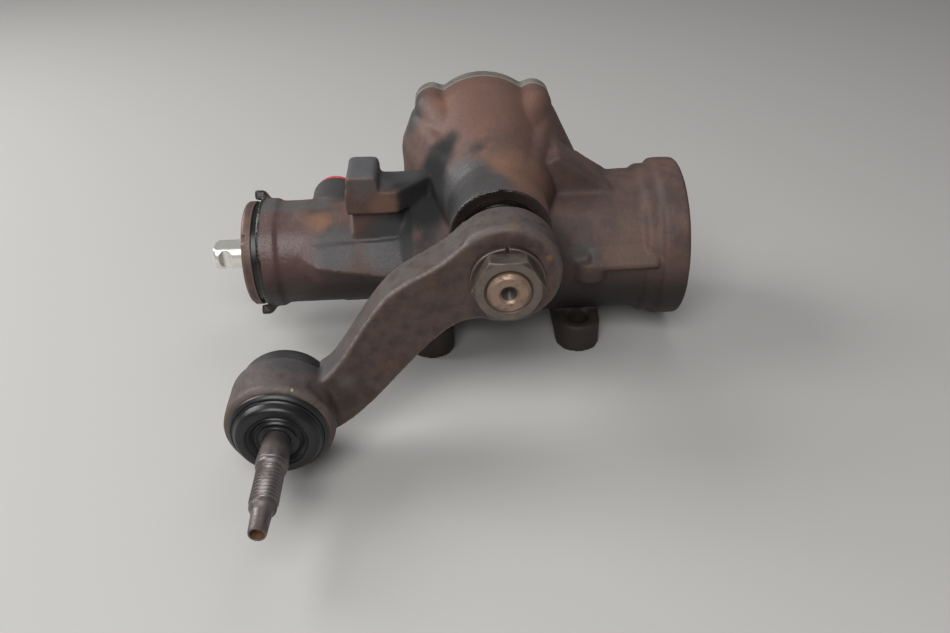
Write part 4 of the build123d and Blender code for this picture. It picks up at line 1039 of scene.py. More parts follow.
@dataclass
class HousingCasting:
    """The cast housing, with its machined faces kept crisp."""

    shop: Assembly
    surface: Wear = Wear(voxel=1.2, passes=4, lumps=0.35, lump_size=14.0, grain=0.10)
    boss_end_y: float = -70.9
    boss_r: float = 31.5
    boss_bore_r: float = 24.0
    boss_bore_end_y: float = -15.0
    flange_x: float = 110.6
    cover_y: float = 50.0
    rim_x: float = -150.5
    bore_r: float = 29.5
    valve_bore_r: float = 41.0
    valve_bore_start_x: float = -60.0
    crisp: float = 2.4
    crispness: float = 0.7
    blur: float = 2.0
    feet_z: float = 1.0
    feet_blur: float = 1.0
    pad_left_x: float = -128.0
    pad_right_x: float = -46.0
    pad_y: float = -14.0
    pad_top_z: float = 86.0
    pad_blur: float = 6.0
    pad_side_blur: float = 4.0

    def machined(self, places: np.ndarray) -> np.ndarray:
        """1 on the faces that were machined after casting."""
        axes = self.shop.axes
        from_pitman = from_line(places, axes.pitman)
        from_worm = np.hypot(places[:, 1], places[:, 2] - axes.worm[2])
        boss = beyond(places, 1, self.boss_end_y + self.crisp, -self.blur) * (from_pitman < self.boss_r)
        ends = np.maximum(beyond(places, 0, self.flange_x - self.crisp, self.blur),
                          beyond(places, 0, self.rim_x + self.crisp, -self.blur))
        cover = beyond(places, 1, self.cover_y - self.crisp, self.blur)
        bottom = beyond(places, 2, self.feet_z, -self.feet_blur)
        valve_bore = (from_worm < self.valve_bore_r) & (places[:, 0] > self.valve_bore_start_x)
        bores = np.maximum(valve_bore, from_worm < self.bore_r)
        boss_bore = (from_pitman < self.boss_bore_r) & (places[:, 1] < self.boss_bore_end_y)
        pad = beyond(places, 0, self.pad_right_x, -self.pad_blur)
        pad = pad * beyond(places, 0, self.pad_left_x, self.pad_blur)
        pad = pad * beyond(places, 1, self.pad_y, -self.pad_side_blur)
        pad = pad * beyond(places, 2, self.pad_top_z, -self.pad_blur)
        faces = self.crispness * np.maximum.reduce([boss, ends, cover, bottom, pad])
        return np.clip(faces + bores + boss_bore, 0, 1)

    def finish(self) -> bpy.types.Material:
        """Rusty iron with the oily and brighter places that the object shows, and painted shade right of the
        hump, in the valley left of the boss and in the shadow of the arm's eye.
        """
        # The first colour serves oily spots and the painted shade in the valley left of the boss.
        oil_and_shade = (0.011, 0.011, 0.0115)
        film = (0.082, 0.083, 0.080)
        slate = (0.038, 0.0375, 0.0395)
        orange = (0.190, 0.090, 0.048)
        grey = (0.046, 0.045, 0.046)
        greasy_ends = (("Y", self.boss_end_y + 0.4), ("X", self.rim_x + 2.2))
        return CastIron("housing_iron", greasy_ends=greasy_ends, zones=(
            Zone((-10.0, 24.0, 140.0), 42.0, 36.0, 8.0, (0.132, 0.064, 0.046), 0.56, 0.80),
            Zone((12.0, -44.0, 126.0), 24.0, 18.0, 6.0, (0.165, 0.084, 0.052), 0.60, 0.75),
            # Painted shade on the right of the hump.
            Zone((42.0, -18.0, 108.0), 17.0, 14.0, 6.0, (0.048, 0.028, 0.023), 0.66, 0.62),
            Zone((-33.0, 29.0, 139.0), 5.0, 10.0, 4.0, orange, 0.62, 0.55),
            Zone((1.0, -38.0, 128.0), 4.0, 12.0, 4.0, orange, 0.62, 0.60),
            Zone((21.0, 29.0, 140.0), 6.0, 14.0, 4.0, orange, 0.62, 0.45),
            Zone((-55.0, 40.0, 131.0), 14.0, 9.0, 4.0, slate, 0.50, 0.85),
            Zone((-15.0, -22.0, 131.0), 4.0, 7.0, 3.0, oil_and_shade, 0.45, 0.55),
            Zone((-26.0, -47.0, 113.0), 24.0, 9.0, 4.0, grey, 0.46, 0.92),
            Zone((-14.0, -64.0, 120.0), 18.0, 9.0, 4.0, grey, 0.46, 0.90),
            Zone((-33.0, -52.0, 102.0), 15.0, 9.0, 3.0, (0.032, 0.033, 0.035), 0.46, 0.92),
            # The next four zones: oily black and painted shade in the valley between the port block and the
            # boss.
            Zone((-31.0, -3.0, 128.0), 8.0, 8.0, 3.0, oil_and_shade, 0.80, 0.92),
            Zone((-39.0, -10.0, 117.0), 14.0, 9.0, 4.0, oil_and_shade, 0.80, 0.96),
            Zone((-47.0, -16.0, 102.0), 21.0, 9.0, 4.0, oil_and_shade, 0.80, 0.98),
            Zone((-55.0, -28.0, 88.0), 18.0, 12.0, 5.0, (0.016, 0.0155, 0.016), 0.70, 0.94),
            Zone((-80.0, -14.0, 115.0), 17.0, 7.0, 3.0, (0.070, 0.072, 0.077), 0.52, 0.90),
            Zone((-60.0, -4.0, 106.0), 13.0, 8.0, 3.0, slate, 0.50, 0.85),
            Zone((-70.0, -31.0, 100.0), 8.0, 8.0, 3.0, (0.150, 0.078, 0.050), 0.60, 0.75),
            Zone((-106.0, 25.0, 84.0), 20.0, 9.0, 4.0, slate, 0.48, 0.92),
            Zone((-104.0, -27.0, 71.0), 14.0, 9.0, 5.0, slate, 0.46, 0.90),
            Zone((-70.0, -31.0, 75.0), 17.0, 12.0, 5.0, (0.046, 0.048, 0.051), 0.46, 0.85),
            Zone((-52.0, -35.0, 83.0), 3.0, 5.0, 2.0, (0.100, 0.036, 0.030), 0.60, 0.70),
            Zone((-114.0, -16.0, 85.0), 7.0, 7.0, 3.0, orange, 0.60, 0.70),
            Zone((-138.0, -20.0, 62.0), 27.0, 16.0, 4.0, (0.092, 0.050, 0.046), 0.32, 0.90),
            Zone((-116.0, -33.0, 58.0), 7.0, 6.0, 3.0, (0.074, 0.028, 0.020), 0.42, 0.80),
            Zone((-144.0, 0.0, 92.0), 9.0, 6.0, 3.0, film, 0.30, 0.90),
            Zone((-128.0, 1.0, 91.0), 9.0, 7.0, 3.0, film, 0.30, 0.85),
            Zone((-113.0, 2.0, 91.0), 8.0, 7.0, 3.0, film, 0.32, 0.80),
            Zone((-150.0, 3.0, 96.0), 6.0, 5.0, 2.0, oil_and_shade, 0.26, 0.95),
            Zone((-150.0, -6.0, 18.0), 12.0, 8.0, 2.0, oil_and_shade, 0.26, 0.95),
            # Painted shadow that the arm's eye and the hump cast on the casting to their right.
            Zone((28.0, -34.0, 66.0), 17.0, 18.0, 5.0, (0.016, 0.013, 0.012), 0.70, 0.92),
            Zone((47.0, -42.0, 70.0), 8.0, 8.0, 4.0, (0.060, 0.054, 0.052), 0.55, 0.80),
            Zone((76.0, -44.0, 72.0), 16.0, 14.0, 6.0, (0.128, 0.074, 0.052), 0.58, 0.55),
            Zone((20.0, -26.0, 6.0), 62.0, 34.0, 8.0, (0.038, 0.027, 0.022), 0.60, 0.85),
            Zone((-80.0, -20.0, 16.0), 44.0, 30.0, 8.0, (0.036, 0.018, 0.014), 0.42, 0.75),
        )).make()

    def build(self) -> None:
        """Makes the casting."""
        self.shop.wear("housing", "housing_casting", self.surface, self.finish(), Body.HOUSING,
                       "housing_casting", keep=self.machined)


@dataclass
class ArmForging:
    """The forged pitman arm."""

    shop: Assembly
    surface: Wear = Wear(voxel=1.0, passes=6, lumps=0.25, lump_size=9.0, grain=0.07)
    seat_r: float = 20.5

    def machined(self, places: np.ndarray) -> np.ndarray:
        """1 on the washer's seat, in the taper and in the socket."""
        axes = self.shop.axes
        seat = from_line(places, axes.pitman) < self.seat_r
        socket = from_line(places, axes.ball) < self.seat_r
        return np.where(seat | socket, 1.0, 0.0)

    def build(self) -> None:
        """Makes the forging."""
        slate = (0.045, 0.044, 0.046)
        steel = ForgedSteel("arm_steel", upper_share=0.75, zones=(
            Zone((-119.7, -119.0, 58.0), 17.0, 8.0, 2.0, slate, 0.50, 0.90),
            Zone((-100.0, -122.0, 62.0), 9.0, 12.0, 2.0, slate, 0.50, 0.70),
            # Painted shade in a dent that the mesh doesn't have.
            Zone((-89.0, -131.5, 39.0), 5.0, 7.0, 1.5, (0.030, 0.019, 0.016), 0.55, 0.85),
            Zone((-89.0, -132.0, 52.5), 4.0, 8.0, 1.5, (0.105, 0.082, 0.070), 0.55, 0.75),
            Zone((-0.1, -110.0, 128.0), 3.0, 6.0, 2.0, (0.150, 0.080, 0.045), 0.60, 0.50),
            Zone((16.8, -113.4, 110.5), 1.6, 1.5, 0.5, (0.190, 0.085, 0.035), 0.60, 0.80),
            Zone((-114.1, -148.5, 61.9), 0.8, 0.5, 0.1, (0.420, 0.360, 0.200), 0.60, 0.90),
        )).make()
        self.shop.wear("pitman_arm", "arm_forging", self.surface, steel, Body.SECTOR, "arm_forging",
                       keep=self.machined)


@dataclass
class ArmFastening:
    """Nut, split washer and the end of the pitman shaft."""

    shop: Assembly
    across_flats: float = 33.3
    back_y: float = -117.9
    front_y: float = -127.4
    bore_r: float = 11.3
    countersink_r: float = 12.6
    chamfer_r: float = 16.6
    chamfer_slope: float = 0.55
    segments: int = 240
    edge: float = 0.35
    blunting: float = 0.35
    back_chamfer: float = 0.7
    back_slope: float = 1.5
    shaft_end_y: float = -129.9
    hole_depth: float = 3.4

    def hexagon(self, station: float, angles: np.ndarray) -> np.ndarray:
        """Radius of the nut's outside: the blunted hexagon, cut by the chamfer cones at both ends.

        Args:
            station: Where along the shaft, in millimetres.
            angles: The directions round the shaft.

        Returns:
            The radius in each direction.
        """
        folded = (angles + math.pi / 6) % (math.pi / 3) - math.pi / 6
        corner = self.across_flats / math.sqrt(3)
        flat = np.minimum(self.across_flats / 2 / np.cos(folded), corner - self.blunting)
        front_cone = self.chamfer_r + (station - self.front_y) / self.chamfer_slope
        back_cone = corner - self.back_chamfer + (self.back_y - station) * self.back_slope
        limit = min(front_cone, back_cone)
        return (flat + limit - np.sqrt((flat - limit) ** 2 + self.edge ** 2)) / 2

    def nut(self, material: bpy.types.Material) -> None:
        """Makes the nut from rings, which lie close together where the front chamfer curves."""
        stations = [self.back_y, self.back_y - 0.25]
        stations += list(np.linspace(self.back_y - 0.6, self.front_y + 3.2, 6))
        stations += list(np.linspace(self.front_y + 2.8, self.front_y + 0.3, 14))
        stations += [self.front_y + 0.08, self.front_y]
        angles = np.linspace(0, 2 * math.pi, self.segments, endpoint=False)
        rings = [(station, self.hexagon(station, angles)) for station in stations]
        bore = ((self.front_y, self.countersink_r), (self.front_y + 1.2, self.bore_r),
                (self.back_y - 0.6, self.bore_r), (self.back_y, self.bore_r + 0.6))
        rings += [(station, np.full(self.segments, radius)) for station, radius in bore]
        centre = self.shop.axes.pitman
        points = [(centre[0] + radius * math.sin(angle), station, centre[2] + radius * math.cos(angle))
                  for station, ring in rings for angle, radius in zip(angles, ring)]
        faces = ring_faces(len(rings), self.segments)
        piece = tidy_mesh(new_piece("arm_nut", np.array(points) * MM, faces), sharp=32.0)
        self.shop.give(piece, material, Body.SECTOR, "nut_steel", "pitman_nut")

    def centre_hole(self) -> Point:
        """A point inside the centre hole of the shaft's end."""
        x, _, z = self.shop.axes.pitman
        return x, self.shaft_end_y + self.hole_depth, z

    def build(self) -> None:
        """Makes the fastening."""
        brown = ForgedSteel("nut_oxide", skin=(0.088, 0.069, 0.057), dark=(0.050, 0.038, 0.031),
                            rubbed=(0.165, 0.135, 0.110), roughness=0.42, metallic=0.35, edges=0.7).make()
        self.nut(brown)
        dark = ForgedSteel("washer_oxide", skin=(0.070, 0.048, 0.040), rubbed=(0.16, 0.12, 0.10),
                           metallic=0.4, roughness=0.42).make()
        self.shop.wear("lock_washer", "split_washer", Wear(0.4, 2), dark, Body.SECTOR, "nut_steel")
        # The centre hole in the shaft's end gets painted shade through pit.
        shaft = Steel("shaft_steel", (0.27, 0.185, 0.135), (0.150, 0.098, 0.072), roughness=0.44,
                      metallic=0.55, stain_share=0.4, marks=Along.PITMAN, pit=self.centre_hole())
        self.shop.dress(shaft.make(), "pitman_shaft")


@dataclass
class BallJoint:
    """Cap, boot, ring and stud at the arm's end."""

    shop: Assembly
    face_y: float = -150.5
    cap_front_y: float = -122.0
    cap_back_y: float = -107.5
    cap_r: float = 25.5
    ball_r: float = 14.0
    ring_r: float = 25.7
    ring_in_r: float = 23.3
    roll_start: float = 2.3
    roll_reach: float = 8.0
    thread_start_y: float = -201.0
    thread_end_y: float = -177.6
    thread_r: float = 7.0
    thread_depth: float = 1.05
    pitch: float = 2.3
    run_out: float = 1.6
    tip_y: float = -214.8

    def boot(self) -> None:
        """Makes the boot's roll and its collar, which stays with the stud."""
        y = self.face_y
        ball = self.shop.axes.ball
        material = Rubber("boot_rubber").make()
        roll = lathe("rubber_boot", ball, Along.PITMAN, (
            (y, 22.9), (y - 2.6, 23.4, 0.8), (y - 3.4, 22.4, 0.8), (y - 4.0, 22.4, 0.6),
            (y - 7.4, 20.9, 2.6), (y - 7.6, 16.4, 2.0), (y - 6.2, 15.3, 0.5), (y - 7.1, 14.6, 0.4),
            (y - 6.0, 13.6, 0.5), (y - 5.0, 12.6), (y - 2.6, 12.6, 0.6), (y - 3.6, 15.2, 1.0),
            (y - 4.8, 18.2, 1.5), (y - 3.4, 20.0, 1.0), (y, 20.2)), segments=144)
        roll.data.materials.append(material)
        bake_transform(roll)
        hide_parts("dust_boot")
        collar = lathe("boot_collar", ball, Along.PITMAN, (
            (y - 3.0, 13.2, 0.4), (y - 5.2, 12.9, 0.6), (y - 5.6, 11.9, 0.5), (y - 6.5, 11.2, 0.4),
            (y - 6.0, 10.3, 0.4), (y - 5.4, 9.4, 0.7), (y - 5.8, 8.4, 0.6), (y - 6.3, 7.8, 0.4),
            (y - 6.4, 6.9, 0.3), (y - 2.6, 7.6, 0.4), (y - 2.2, 12.0, 0.8)))
        self.shop.give(collar, material, Body.SHELL, "black_rubber")

    def ring(self) -> None:
        """Makes the black steel ring that clamps the boot."""
        y = self.face_y
        outline = ((y, self.ring_in_r), (y, self.ring_r, 0.3), (y - 1.1, self.ring_r - 0.2, 0.7),
                   (y - 2.4, self.ring_r - 1.5, 0.6), (y - 2.2, self.ring_in_r, 0.3))
        piece = lathe("boot_clamp", self.shop.axes.ball, Along.PITMAN, outline)
        black = Painted("ring_black", (0.010, 0.010, 0.011), (0.040, 0.038, 0.037), 0.38)
        self.shop.give(piece, black.make(), Body.SECTOR, "black_rubber", "boot_ring")

    def cap(self) -> None:
        """Makes the cup behind the ball."""
        front, back, radius = self.cap_front_y, self.cap_back_y, self.cap_r
        outline = ((front, 20.0), (front, radius), (back - 7.5, radius, 3.0), (back - 2.6, radius - 2.6, 3.0),
                   (back, radius - 8.0, 3.5), (back, 0.0), (back - 4.0, 0.0), (back - 4.0, 20.0, 1.0))
        piece = lathe("joint_cap", self.shop.axes.ball, Along.PITMAN, outline)
        paint = Painted("cap_paint", (0.026, 0.0255, 0.027), (0.020, 0.018, 0.017), 0.42)
        self.shop.give(piece, paint.make(), Body.SECTOR, "cap_steel", "socket_cap")

    def thread(self, material: bpy.types.Material) -> bpy.types.Object:
        """Makes the stud's thread by rule: a bar whose radius follows the helix."""
        recipe = Recipe("stud_thread_recipe")
        root = recipe.size("Root Radius", self.thread_r - self.thread_depth)
        depth = recipe.size("Depth", self.thread_depth)
        pitch = recipe.size("Pitch", self.pitch)
        length = recipe.size("Length", self.thread_end_y - self.thread_start_y)
        taper = recipe.size("Run Out", self.run_out)
        bar = recipe.node("GeometryNodeMeshCylinder", {"fill_type": "NGON"}, {
            "Vertices": 72, "Side Segments": 240, "Radius": 1.0, "Depth": length})
        place = recipe.node("GeometryNodeInputPosition").outputs[0]
        parts = recipe.node("ShaderNodeSeparateXYZ", None, {0: place}).outputs
        angle = recipe.math("ARCTAN2", parts["Y"], parts["X"])
        turns = recipe.math("DIVIDE", angle, 2 * math.pi)
        along = recipe.math("DIVIDE", parts["Z"], pitch)
        phase = recipe.math("FRACT", recipe.math("SUBTRACT", recipe.math("ADD", along, 100.0), turns))
        wave = recipe.math("MULTIPLY", recipe.math("ABSOLUTE", recipe.math("SUBTRACT", phase, 0.5)), 2.0)
        ridge = recipe.math("MINIMUM", recipe.math("MULTIPLY", wave, 1.15), 1.0)
        half = recipe.math("MULTIPLY", length, 0.5)
        from_end = recipe.math("SUBTRACT", half, recipe.math("ABSOLUTE", parts["Z"]))
        fade = recipe.math("MINIMUM", recipe.math("DIVIDE", from_end, taper), 1.0)
        height = recipe.math("MULTIPLY", recipe.math("MULTIPLY", ridge, fade), depth)
        radius = recipe.math("ADD", root, height)
        flat = recipe.node("ShaderNodeCombineXYZ", None, {"X": parts["X"], "Y": parts["Y"]}).outputs[0]
        scaled = recipe.node("ShaderNodeVectorMath", {"operation": "SCALE"}, {
            0: flat, "Scale": radius}).outputs[0]
        lifted = recipe.node("ShaderNodeCombineXYZ", None, {"Z": parts["Z"]}).outputs[0]
        target = recipe.node("ShaderNodeVectorMath", {"operation": "ADD"}, {0: scaled, 1: lifted}).outputs[0]
        moved = recipe.node("GeometryNodeSetPosition", None, {
            "Geometry": bar.outputs["Mesh"], "Position": target})
        made = recipe.bake("stud_thread", moved.outputs[0], material)
        middle = (self.thread_start_y + self.thread_end_y) / 2
        ball = self.shop.axes.ball
        turn = Matrix.Rotation(math.radians(90), 4, "X")
        made.data.transform(Matrix.Translation((ball[0] * MM, middle * MM, ball[2] * MM)) @ turn)
        return tidy_mesh(made, sharp=50.0)

    def stud(self) -> None:
        """Makes the stud: ball, taper, thread, shoulder cone and the hollow drive tip."""
        centre = self.shop.axes.ball
        steel = Steel("stud_steel", (0.150, 0.132, 0.130), (0.082, 0.060, 0.052), roughness=0.40,
                      metallic=0.75, stain_share=0.45, marks=Along.PITMAN, mark_depth=0.004,
                      rust_specks=0.45, grain_mm=9.0, pit=(centre[0], self.tip_y, centre[2]), pit_r=4.0,
                      dark_inside=(0.130, 0.055, 0.022)).make()
        core = self.thread_r - self.thread_depth
        outline = (
            (-133.0, 0.0), (-133.0, 8.0), (-150.8, 8.0, 1.0), (-155.0, 6.6, 2.0), (-165.0, 7.5, 4.0),
            (-174.6, 8.1, 0.5), (-175.2, 7.6, 0.2), (-175.6, 7.6, 0.2), (-176.0, 7.9, 0.2),
            (-177.2, 7.6, 0.5), (-178.4, core, 0.3),
            (self.thread_end_y - 1.0, core - 0.1), (self.thread_start_y + 1.0, core - 0.1),
            (self.thread_start_y - 0.2, core, 0.3), (self.thread_start_y - 0.8, 6.6, 0.5), (-203.0, 6.5, 0.6),
            (-204.6, 5.6, 0.6), (-206.0, 4.9, 0.6),
            (-216.6, 4.4, 0.3), (-218.0, 4.1, 0.4), (-217.8, 3.3, 0.3), (-213.0, 2.8, 0.5), (-211.6, 0.0))
        body = lathe("stud_body_turned", centre, Along.PITMAN, outline, segments=72)
        mesh = bpy.data.meshes.new("ball")
        work = bmesh.new()
        bmesh.ops.create_uvsphere(work, u_segments=48, v_segments=24, radius=self.ball_r * MM)
        bmesh.ops.translate(work, verts=work.verts, vec=Vector(centre) * MM)
        work.from_mesh(body.data)
        work.to_mesh(mesh)
        work.free()
        bpy.data.objects.remove(body)
        mesh.shade_smooth()
        mesh.set_sharp_from_angle(angle=math.radians(40))
        self.shop.give(linked("ball_stud_turned", mesh), steel, Body.STUD, "stud_steel", "ball_stud")
        self.shop.give(self.thread(steel), steel, Body.STUD, "stud_steel")

    def build(self) -> None:
        """Makes the joint."""
        self.cap()
        self.ring()
        self.boot()
        self.stud()
        bright = Steel("joint_bright", (0.62, 0.62, 0.61), (0.40, 0.39, 0.37), marks=Along.PITMAN).make()
        self.shop.dress(bright, "ball_shell", "preload_spring")
        self.shop.dress(Painted("seat_plastic", (0.62, 0.60, 0.53), (0.35, 0.32, 0.26)).make(), "socket_seat")


@dataclass
class InputEnd:
    """Lock nut, adjuster plug, seals and the bright input shaft."""

    shop: Assembly

    def build(self) -> None:
        """Dresses the input side."""
        brown = ForgedSteel("lock_nut_oxide", skin=(0.120, 0.074, 0.062), dark=(0.070, 0.044, 0.038),
                            rubbed=(0.24, 0.15, 0.11), roughness=0.45, metallic=0.25).make()
        self.shop.wear("adjuster_lock_nut", "lock_nut_worn", Wear(0.6, 2), brown, Body.HOUSING,
                       "lock_nut_steel")
        plug = Steel("plug_steel", (0.30, 0.27, 0.25), (0.11, 0.08, 0.065), roughness=0.42,
                     stain_share=0.6, rust_specks=0.6).make()
        self.shop.wear("adjuster_plug", "adjuster_plug_worn", Wear(0.8, 2), plug, Body.HOUSING,
                       "machined_steel")
        bright = Steel("input_bright", (0.88, 0.86, 0.80), (0.66, 0.58, 0.47), roughness=0.30,
                       metallic=0.85, stain_share=0.05, rust_specks=0.10).make()
        self.shop.wear("stub_shaft", "input_shaft_worn", Wear(0.55, 2), bright, Body.INPUT, "input_steel")
        self.shop.dress(Rubber("seal_rubber").make(), "adjuster_seal", "stub_seal", "stub_dust_seal",
                        "pitman_inner_seal", "end_plug_o_ring")


def bevel_edges(piece: bpy.types.Object, width: float) -> None:
    """Bevels the edges of a piece for good.

    Args:
        piece: The piece, still without a parent.
        width: Width of the bevel in millimetres.
    """
    tidy_mesh(piece)
    bevel = piece.modifiers.new("bevel", "BEVEL")
    bevel.width = width * MM
    bevel.segments = 2
    bevel.limit_method = "ANGLE"
    bevel.angle_limit = math.radians(35)
    apply_modifiers(piece)
    tidy_mesh(piece)


@dataclass
class CoverSide:
    """Side cover with its gasket, bolts and lash adjuster."""

    shop: Assembly
    pitch_x: float = 64.6
    pitch_z: float = 64.0
    centre_x: float = -7.9
    seat_y: float = 60.8
    head_h: float = 6.5
    head_r: float = 8.25
    washer_r: float = 9.6
    washer_t: float = 1.2
    head_taper: float = 0.96
    washer_taper: float = 0.93
    bevel: float = 0.35

    def bolts(self, material: bpy.types.Material) -> None:
        """Makes the four flanged bolt heads on their pitch."""
        recipe = Recipe("cover_bolt_recipe")
        pitch_x = recipe.size("Pitch X", self.pitch_x)
        pitch_z = recipe.size("Pitch Z", self.pitch_z)
        head_r = recipe.size("Head Radius", self.head_r)
        head_h = recipe.size("Head Height", self.head_h)
        washer_r = recipe.size("Washer Radius", self.washer_r)
        washer_t = recipe.size("Washer Height", self.washer_t)
        grid = recipe.node("GeometryNodeMeshGrid", None, {
            "Size X": pitch_x, "Size Y": pitch_z, "Vertices X": 2, "Vertices Y": 2})
        head = recipe.node("GeometryNodeMeshCone", None, {
            "Vertices": 6, "Radius Top": recipe.math("MULTIPLY", head_r, self.head_taper),
            "Radius Bottom": head_r, "Depth": head_h})
        raised = recipe.node("GeometryNodeTransform", None, {
            "Geometry": head.outputs["Mesh"],
            "Translation": recipe.node("ShaderNodeCombineXYZ", None, {"Z": washer_t}).outputs[0]})
        washer = recipe.node("GeometryNodeMeshCone", None, {
            "Vertices": 40, "Radius Top": recipe.math("MULTIPLY", washer_r, self.washer_taper),
            "Radius Bottom": washer_r, "Depth": washer_t})
        bolt = recipe.node("GeometryNodeJoinGeometry")
        recipe.tree.links.new(raised.outputs[0], bolt.inputs[0])
        recipe.tree.links.new(washer.outputs["Mesh"], bolt.inputs[0])
        turned = recipe.node("FunctionNodeRandomValue", {"data_type": "FLOAT"}, {
            2: 0.0, 3: math.pi / 3, "Seed": 4})
        rotation = recipe.node("ShaderNodeCombineXYZ", None, {"Z": turned.outputs[1]}).outputs[0]
        many = recipe.node("GeometryNodeInstanceOnPoints", None, {
            "Points": grid.outputs["Mesh"], "Instance": bolt.outputs[0], "Rotation": rotation})
        made = recipe.bake("cover_bolt_heads", many.outputs[0], material)
        axis = self.shop.axes.pitman
        turn = Matrix.Rotation(math.radians(-90), 4, "X")
        made.data.transform(Matrix.Translation((self.centre_x * MM, self.seat_y * MM, axis[2] * MM)) @ turn)
        bevel_edges(made, self.bevel)
        self.shop.give(made, material, Body.HOUSING, "bolt_steel", "cover_bolts")

    def build(self) -> None:
        """Dresses the cover side."""
        iron = CastIron("cover_iron", rust=(0.165, 0.152, 0.134), bright_rust=(0.20, 0.15, 0.11),
                        grime=(0.095, 0.085, 0.074), roughness=0.52, soot_and_shade_z=(50.0, 4.0)).make()
        surface = Wear(1.2, 4, lumps=0.15, lump_size=12.0, grain=0.06)
        self.shop.wear("side_cover", "side_cover_casting", surface, iron, Body.HOUSING, "cover_casting")
        steel = Steel("bolt_steel", (0.24, 0.21, 0.18), (0.12, 0.075, 0.05), roughness=0.42, stain_share=0.6,
                      marks=Along.PITMAN, rust_specks=0.7).make()
        self.bolts(steel)
        self.shop.wear("lash_adjuster_nut", "lash_nut_worn", Wear(0.4, 2), steel, Body.HOUSING, "bolt_steel")
        self.shop.dress(steel, "lash_adjuster_screw", "clamp_screws")
        self.shop.dress(Painted("gasket_fibre", (0.25, 0.23, 0.20), (0.12, 0.10, 0.08), 0.7).make(),
                        "side_cover_gasket")


@dataclass
class EndAndPorts:
    """End plug with its ring, and the port caps."""

    shop: Assembly

    def build(self) -> None:
        """Dresses the end plug and the ports."""
        rusty = Steel("end_plug_steel", (0.21, 0.175, 0.15), (0.10, 0.065, 0.05), roughness=0.45,
                      stain_share=0.8, rust_specks=0.8).make()
        self.shop.wear("end_plug", "end_plug_worn", Wear(1.0, 2), rusty, Body.HOUSING, "machined_steel")
        dark = Steel("spring_steel", (0.17, 0.155, 0.145), (0.09, 0.065, 0.05), roughness=0.36,
                     stain_share=0.5, rust_specks=0.4).make()
        self.shop.wear("end_retaining_ring", "end_ring_worn", Wear(0.6, 2), dark, Body.HOUSING,
                       "spring_steel")
        self.shop.dress(dark, "stub_retaining_ring", "piston_ring", "valve_seal_rings")
        dark_inside = Painted("boss_grease", (0.012, 0.011, 0.011), (0.045, 0.033, 0.027), 0.16, 0.5, 0.06)
        self.shop.dress(dark_inside.make(), "pitman_retaining_ring", "pitman_backup_washer", "pitman_outer_seal")
        red = Painted("cap_red", (0.62, 0.035, 0.028), (0.30, 0.03, 0.025), 0.38, 0.5).make()
        self.shop.wear("port_caps", "port_caps_moulded", Wear(0.45, 3), red, Body.HOUSING, "red_plastic")


@dataclass
class InnerWorks:
    """The pieces that the casting hides."""

    shop: Assembly

    def build(self) -> None:
        """Dresses the hidden pieces."""
        ground = Steel("ground_steel", (0.56, 0.56, 0.55), (0.34, 0.31, 0.28), roughness=0.26,
                       stain_share=0.2)
        self.shop.dress(ground.make(), "rack_piston", "rack_piston_plug", "worm_shaft", "valve_body",
                        "spool_valve", "torsion_bar", "ball_guides", "guide_clamp", "port_seats")
        polished = Steel("bearing_steel", (0.66, 0.66, 0.67), (0.45, 0.43, 0.40), roughness=0.16,
                         stain_share=0.1)
        self.shop.dress(polished.make(), "pitman_needle_bearing", "inner_thrust_bearing",
                        "outer_thrust_bearing", "stub_bearing", "recirculating_balls")
        bronze = Steel("bushing_bronze", (0.55, 0.38, 0.19), (0.30, 0.19, 0.09), roughness=0.38,
                       marks=Along.PITMAN)
        self.shop.dress(bronze.make(), "cover_bushing")


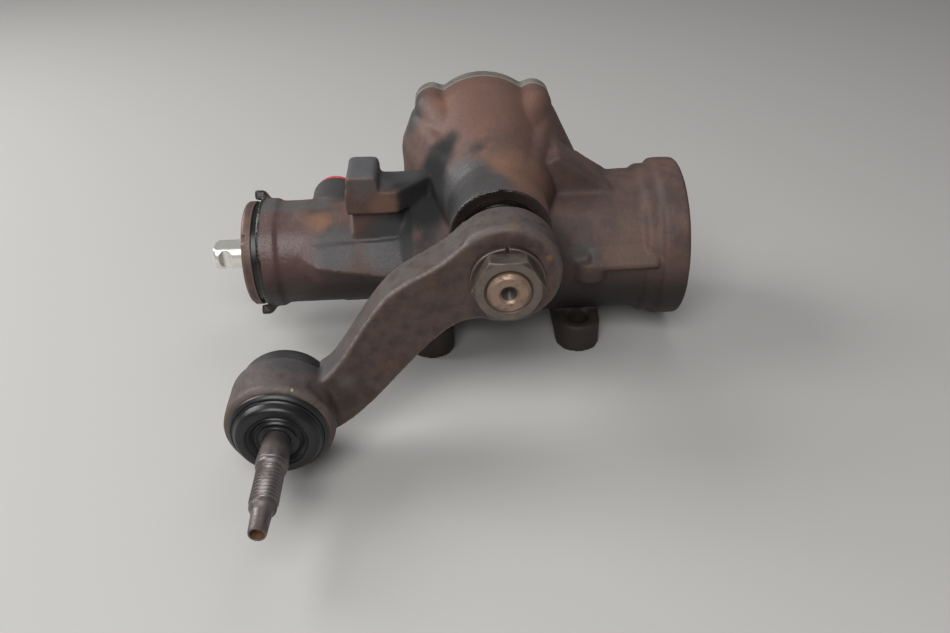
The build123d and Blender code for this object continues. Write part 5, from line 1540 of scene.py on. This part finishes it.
@dataclass
class Studio:
    """Floor, lamps and the camera."""

    camera_at: Point = (-31.0, -478.0, 329.1)
    pitch_down: float = 34.662
    roll: float = -1.729
    yaw: float = -1.536
    lens: float = 32.14
    sensor: float = 36.0
    floor_size: float = 6.0
    floor_colour: Colour = (0.42, 0.41, 0.395)
    floor_roughness: float = 0.75
    sky_colour: Colour = (0.86, 0.86, 0.88)
    sky_light: float = 0.20
    sky_seen: float = 0.95
    lamps_look_at: Point = (-30.0, -40.0, 60.0)
    lamps: tuple[tuple[str, Point, float, float], ...] = (
        ("window", (-1000.0, 300.0, 800.0), 700.0, 12.5),
        ("ceiling", (-220.0, -880.0, 960.0), 800.0, 12.5),
        ("back", (260.0, 520.0, 1150.0), 700.0, 2.0),
    )

    def camera(self) -> None:
        """Places the camera as the object was seen."""
        down, roll, yaw = (math.radians(value) for value in (self.pitch_down, self.roll, self.yaw))
        turn = Matrix.Rotation(yaw, 3, "Z")
        forward = turn @ Vector((0, math.cos(down), -math.sin(down)))
        right = turn @ Vector((1, 0, 0))
        up = right.cross(forward)
        side = math.cos(roll) * right + math.sin(roll) * up
        top = -math.sin(roll) * right + math.cos(roll) * up
        data = bpy.data.cameras.new("camera")
        data.lens = self.lens
        data.sensor_width = self.sensor
        data.clip_start = 0.01
        camera = linked("camera", data)
        frame = Matrix((side, top, -forward)).transposed().to_4x4()
        camera.matrix_world = Matrix.Translation(Vector(self.camera_at) * MM) @ frame
        bpy.context.scene.camera = camera

    def floor(self) -> None:
        """Makes the pale floor."""
        half = self.floor_size / 2
        square = [(-half, -half, 0), (half, -half, 0), (half, half, 0), (-half, half, 0)]
        floor = new_piece("floor", square, [(0, 1, 2, 3)])
        paint = Paint("floor_plain")
        floor.data.materials.append(paint.finish(self.floor_colour, self.floor_roughness))

    def lamp(self, name: str, place: Point, size: float, power: float) -> None:
        """Hangs one soft lamp that looks at the object.

        Args:
            name: Its name.
            place: Where it hangs, in millimetres.
            size: Length of its sides, in millimetres.
            power: Its power in watts.
        """
        data = bpy.data.lights.new(name, "AREA")
        data.size = size * MM
        data.energy = power
        lamp = linked(name, data)
        aim = (Vector(self.lamps_look_at) - Vector(place)).to_track_quat("-Z", "Y")
        lamp.matrix_world = Matrix.Translation(Vector(place) * MM) @ aim.to_matrix().to_4x4()

    def sky(self) -> None:
        """Lights the object evenly, and shows a pale backdrop."""
        world = bpy.data.worlds.new("sky")
        world.use_nodes = True
        sky = Nodes(world.node_tree)
        rays = sky.node("ShaderNodeLightPath").outputs
        seen = sky.node("ShaderNodeMath", {"operation": "MAXIMUM"}, {
            0: rays["Is Camera Ray"], 1: rays["Is Transmission Ray"]})
        strength = sky.node("ShaderNodeMix", None, {
            "Factor_Float": seen.outputs[0], "A_Float": self.sky_light, "B_Float": self.sky_seen})
        light = sky.node("ShaderNodeBackground", None, {
            "Color": self.sky_colour, "Strength": strength.outputs[0]})
        sky.node("ShaderNodeOutputWorld", None, {"Surface": light.outputs[0]})
        bpy.context.scene.world = world

    def build(self) -> None:
        """Sets the stage."""
        self.camera()
        self.floor()
        self.sky()
        for lamp in self.lamps:
            self.lamp(*lamp)
        bpy.context.scene.view_settings.view_transform = "Standard"


def main() -> None:
    """Builds the looks in order."""
    logging.basicConfig(level=logging.INFO, format="%(name)s: %(message)s")
    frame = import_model()
    shop = Assembly(frame, Axes.from_joints(frame["joints"]))
    Studio().build()
    for part in (HousingCasting, ArmForging, ArmFastening, BallJoint, InputEnd, CoverSide, EndAndPorts,
                 InnerWorks):
        part(shop).build()


if __name__ == "__main__":
    main()
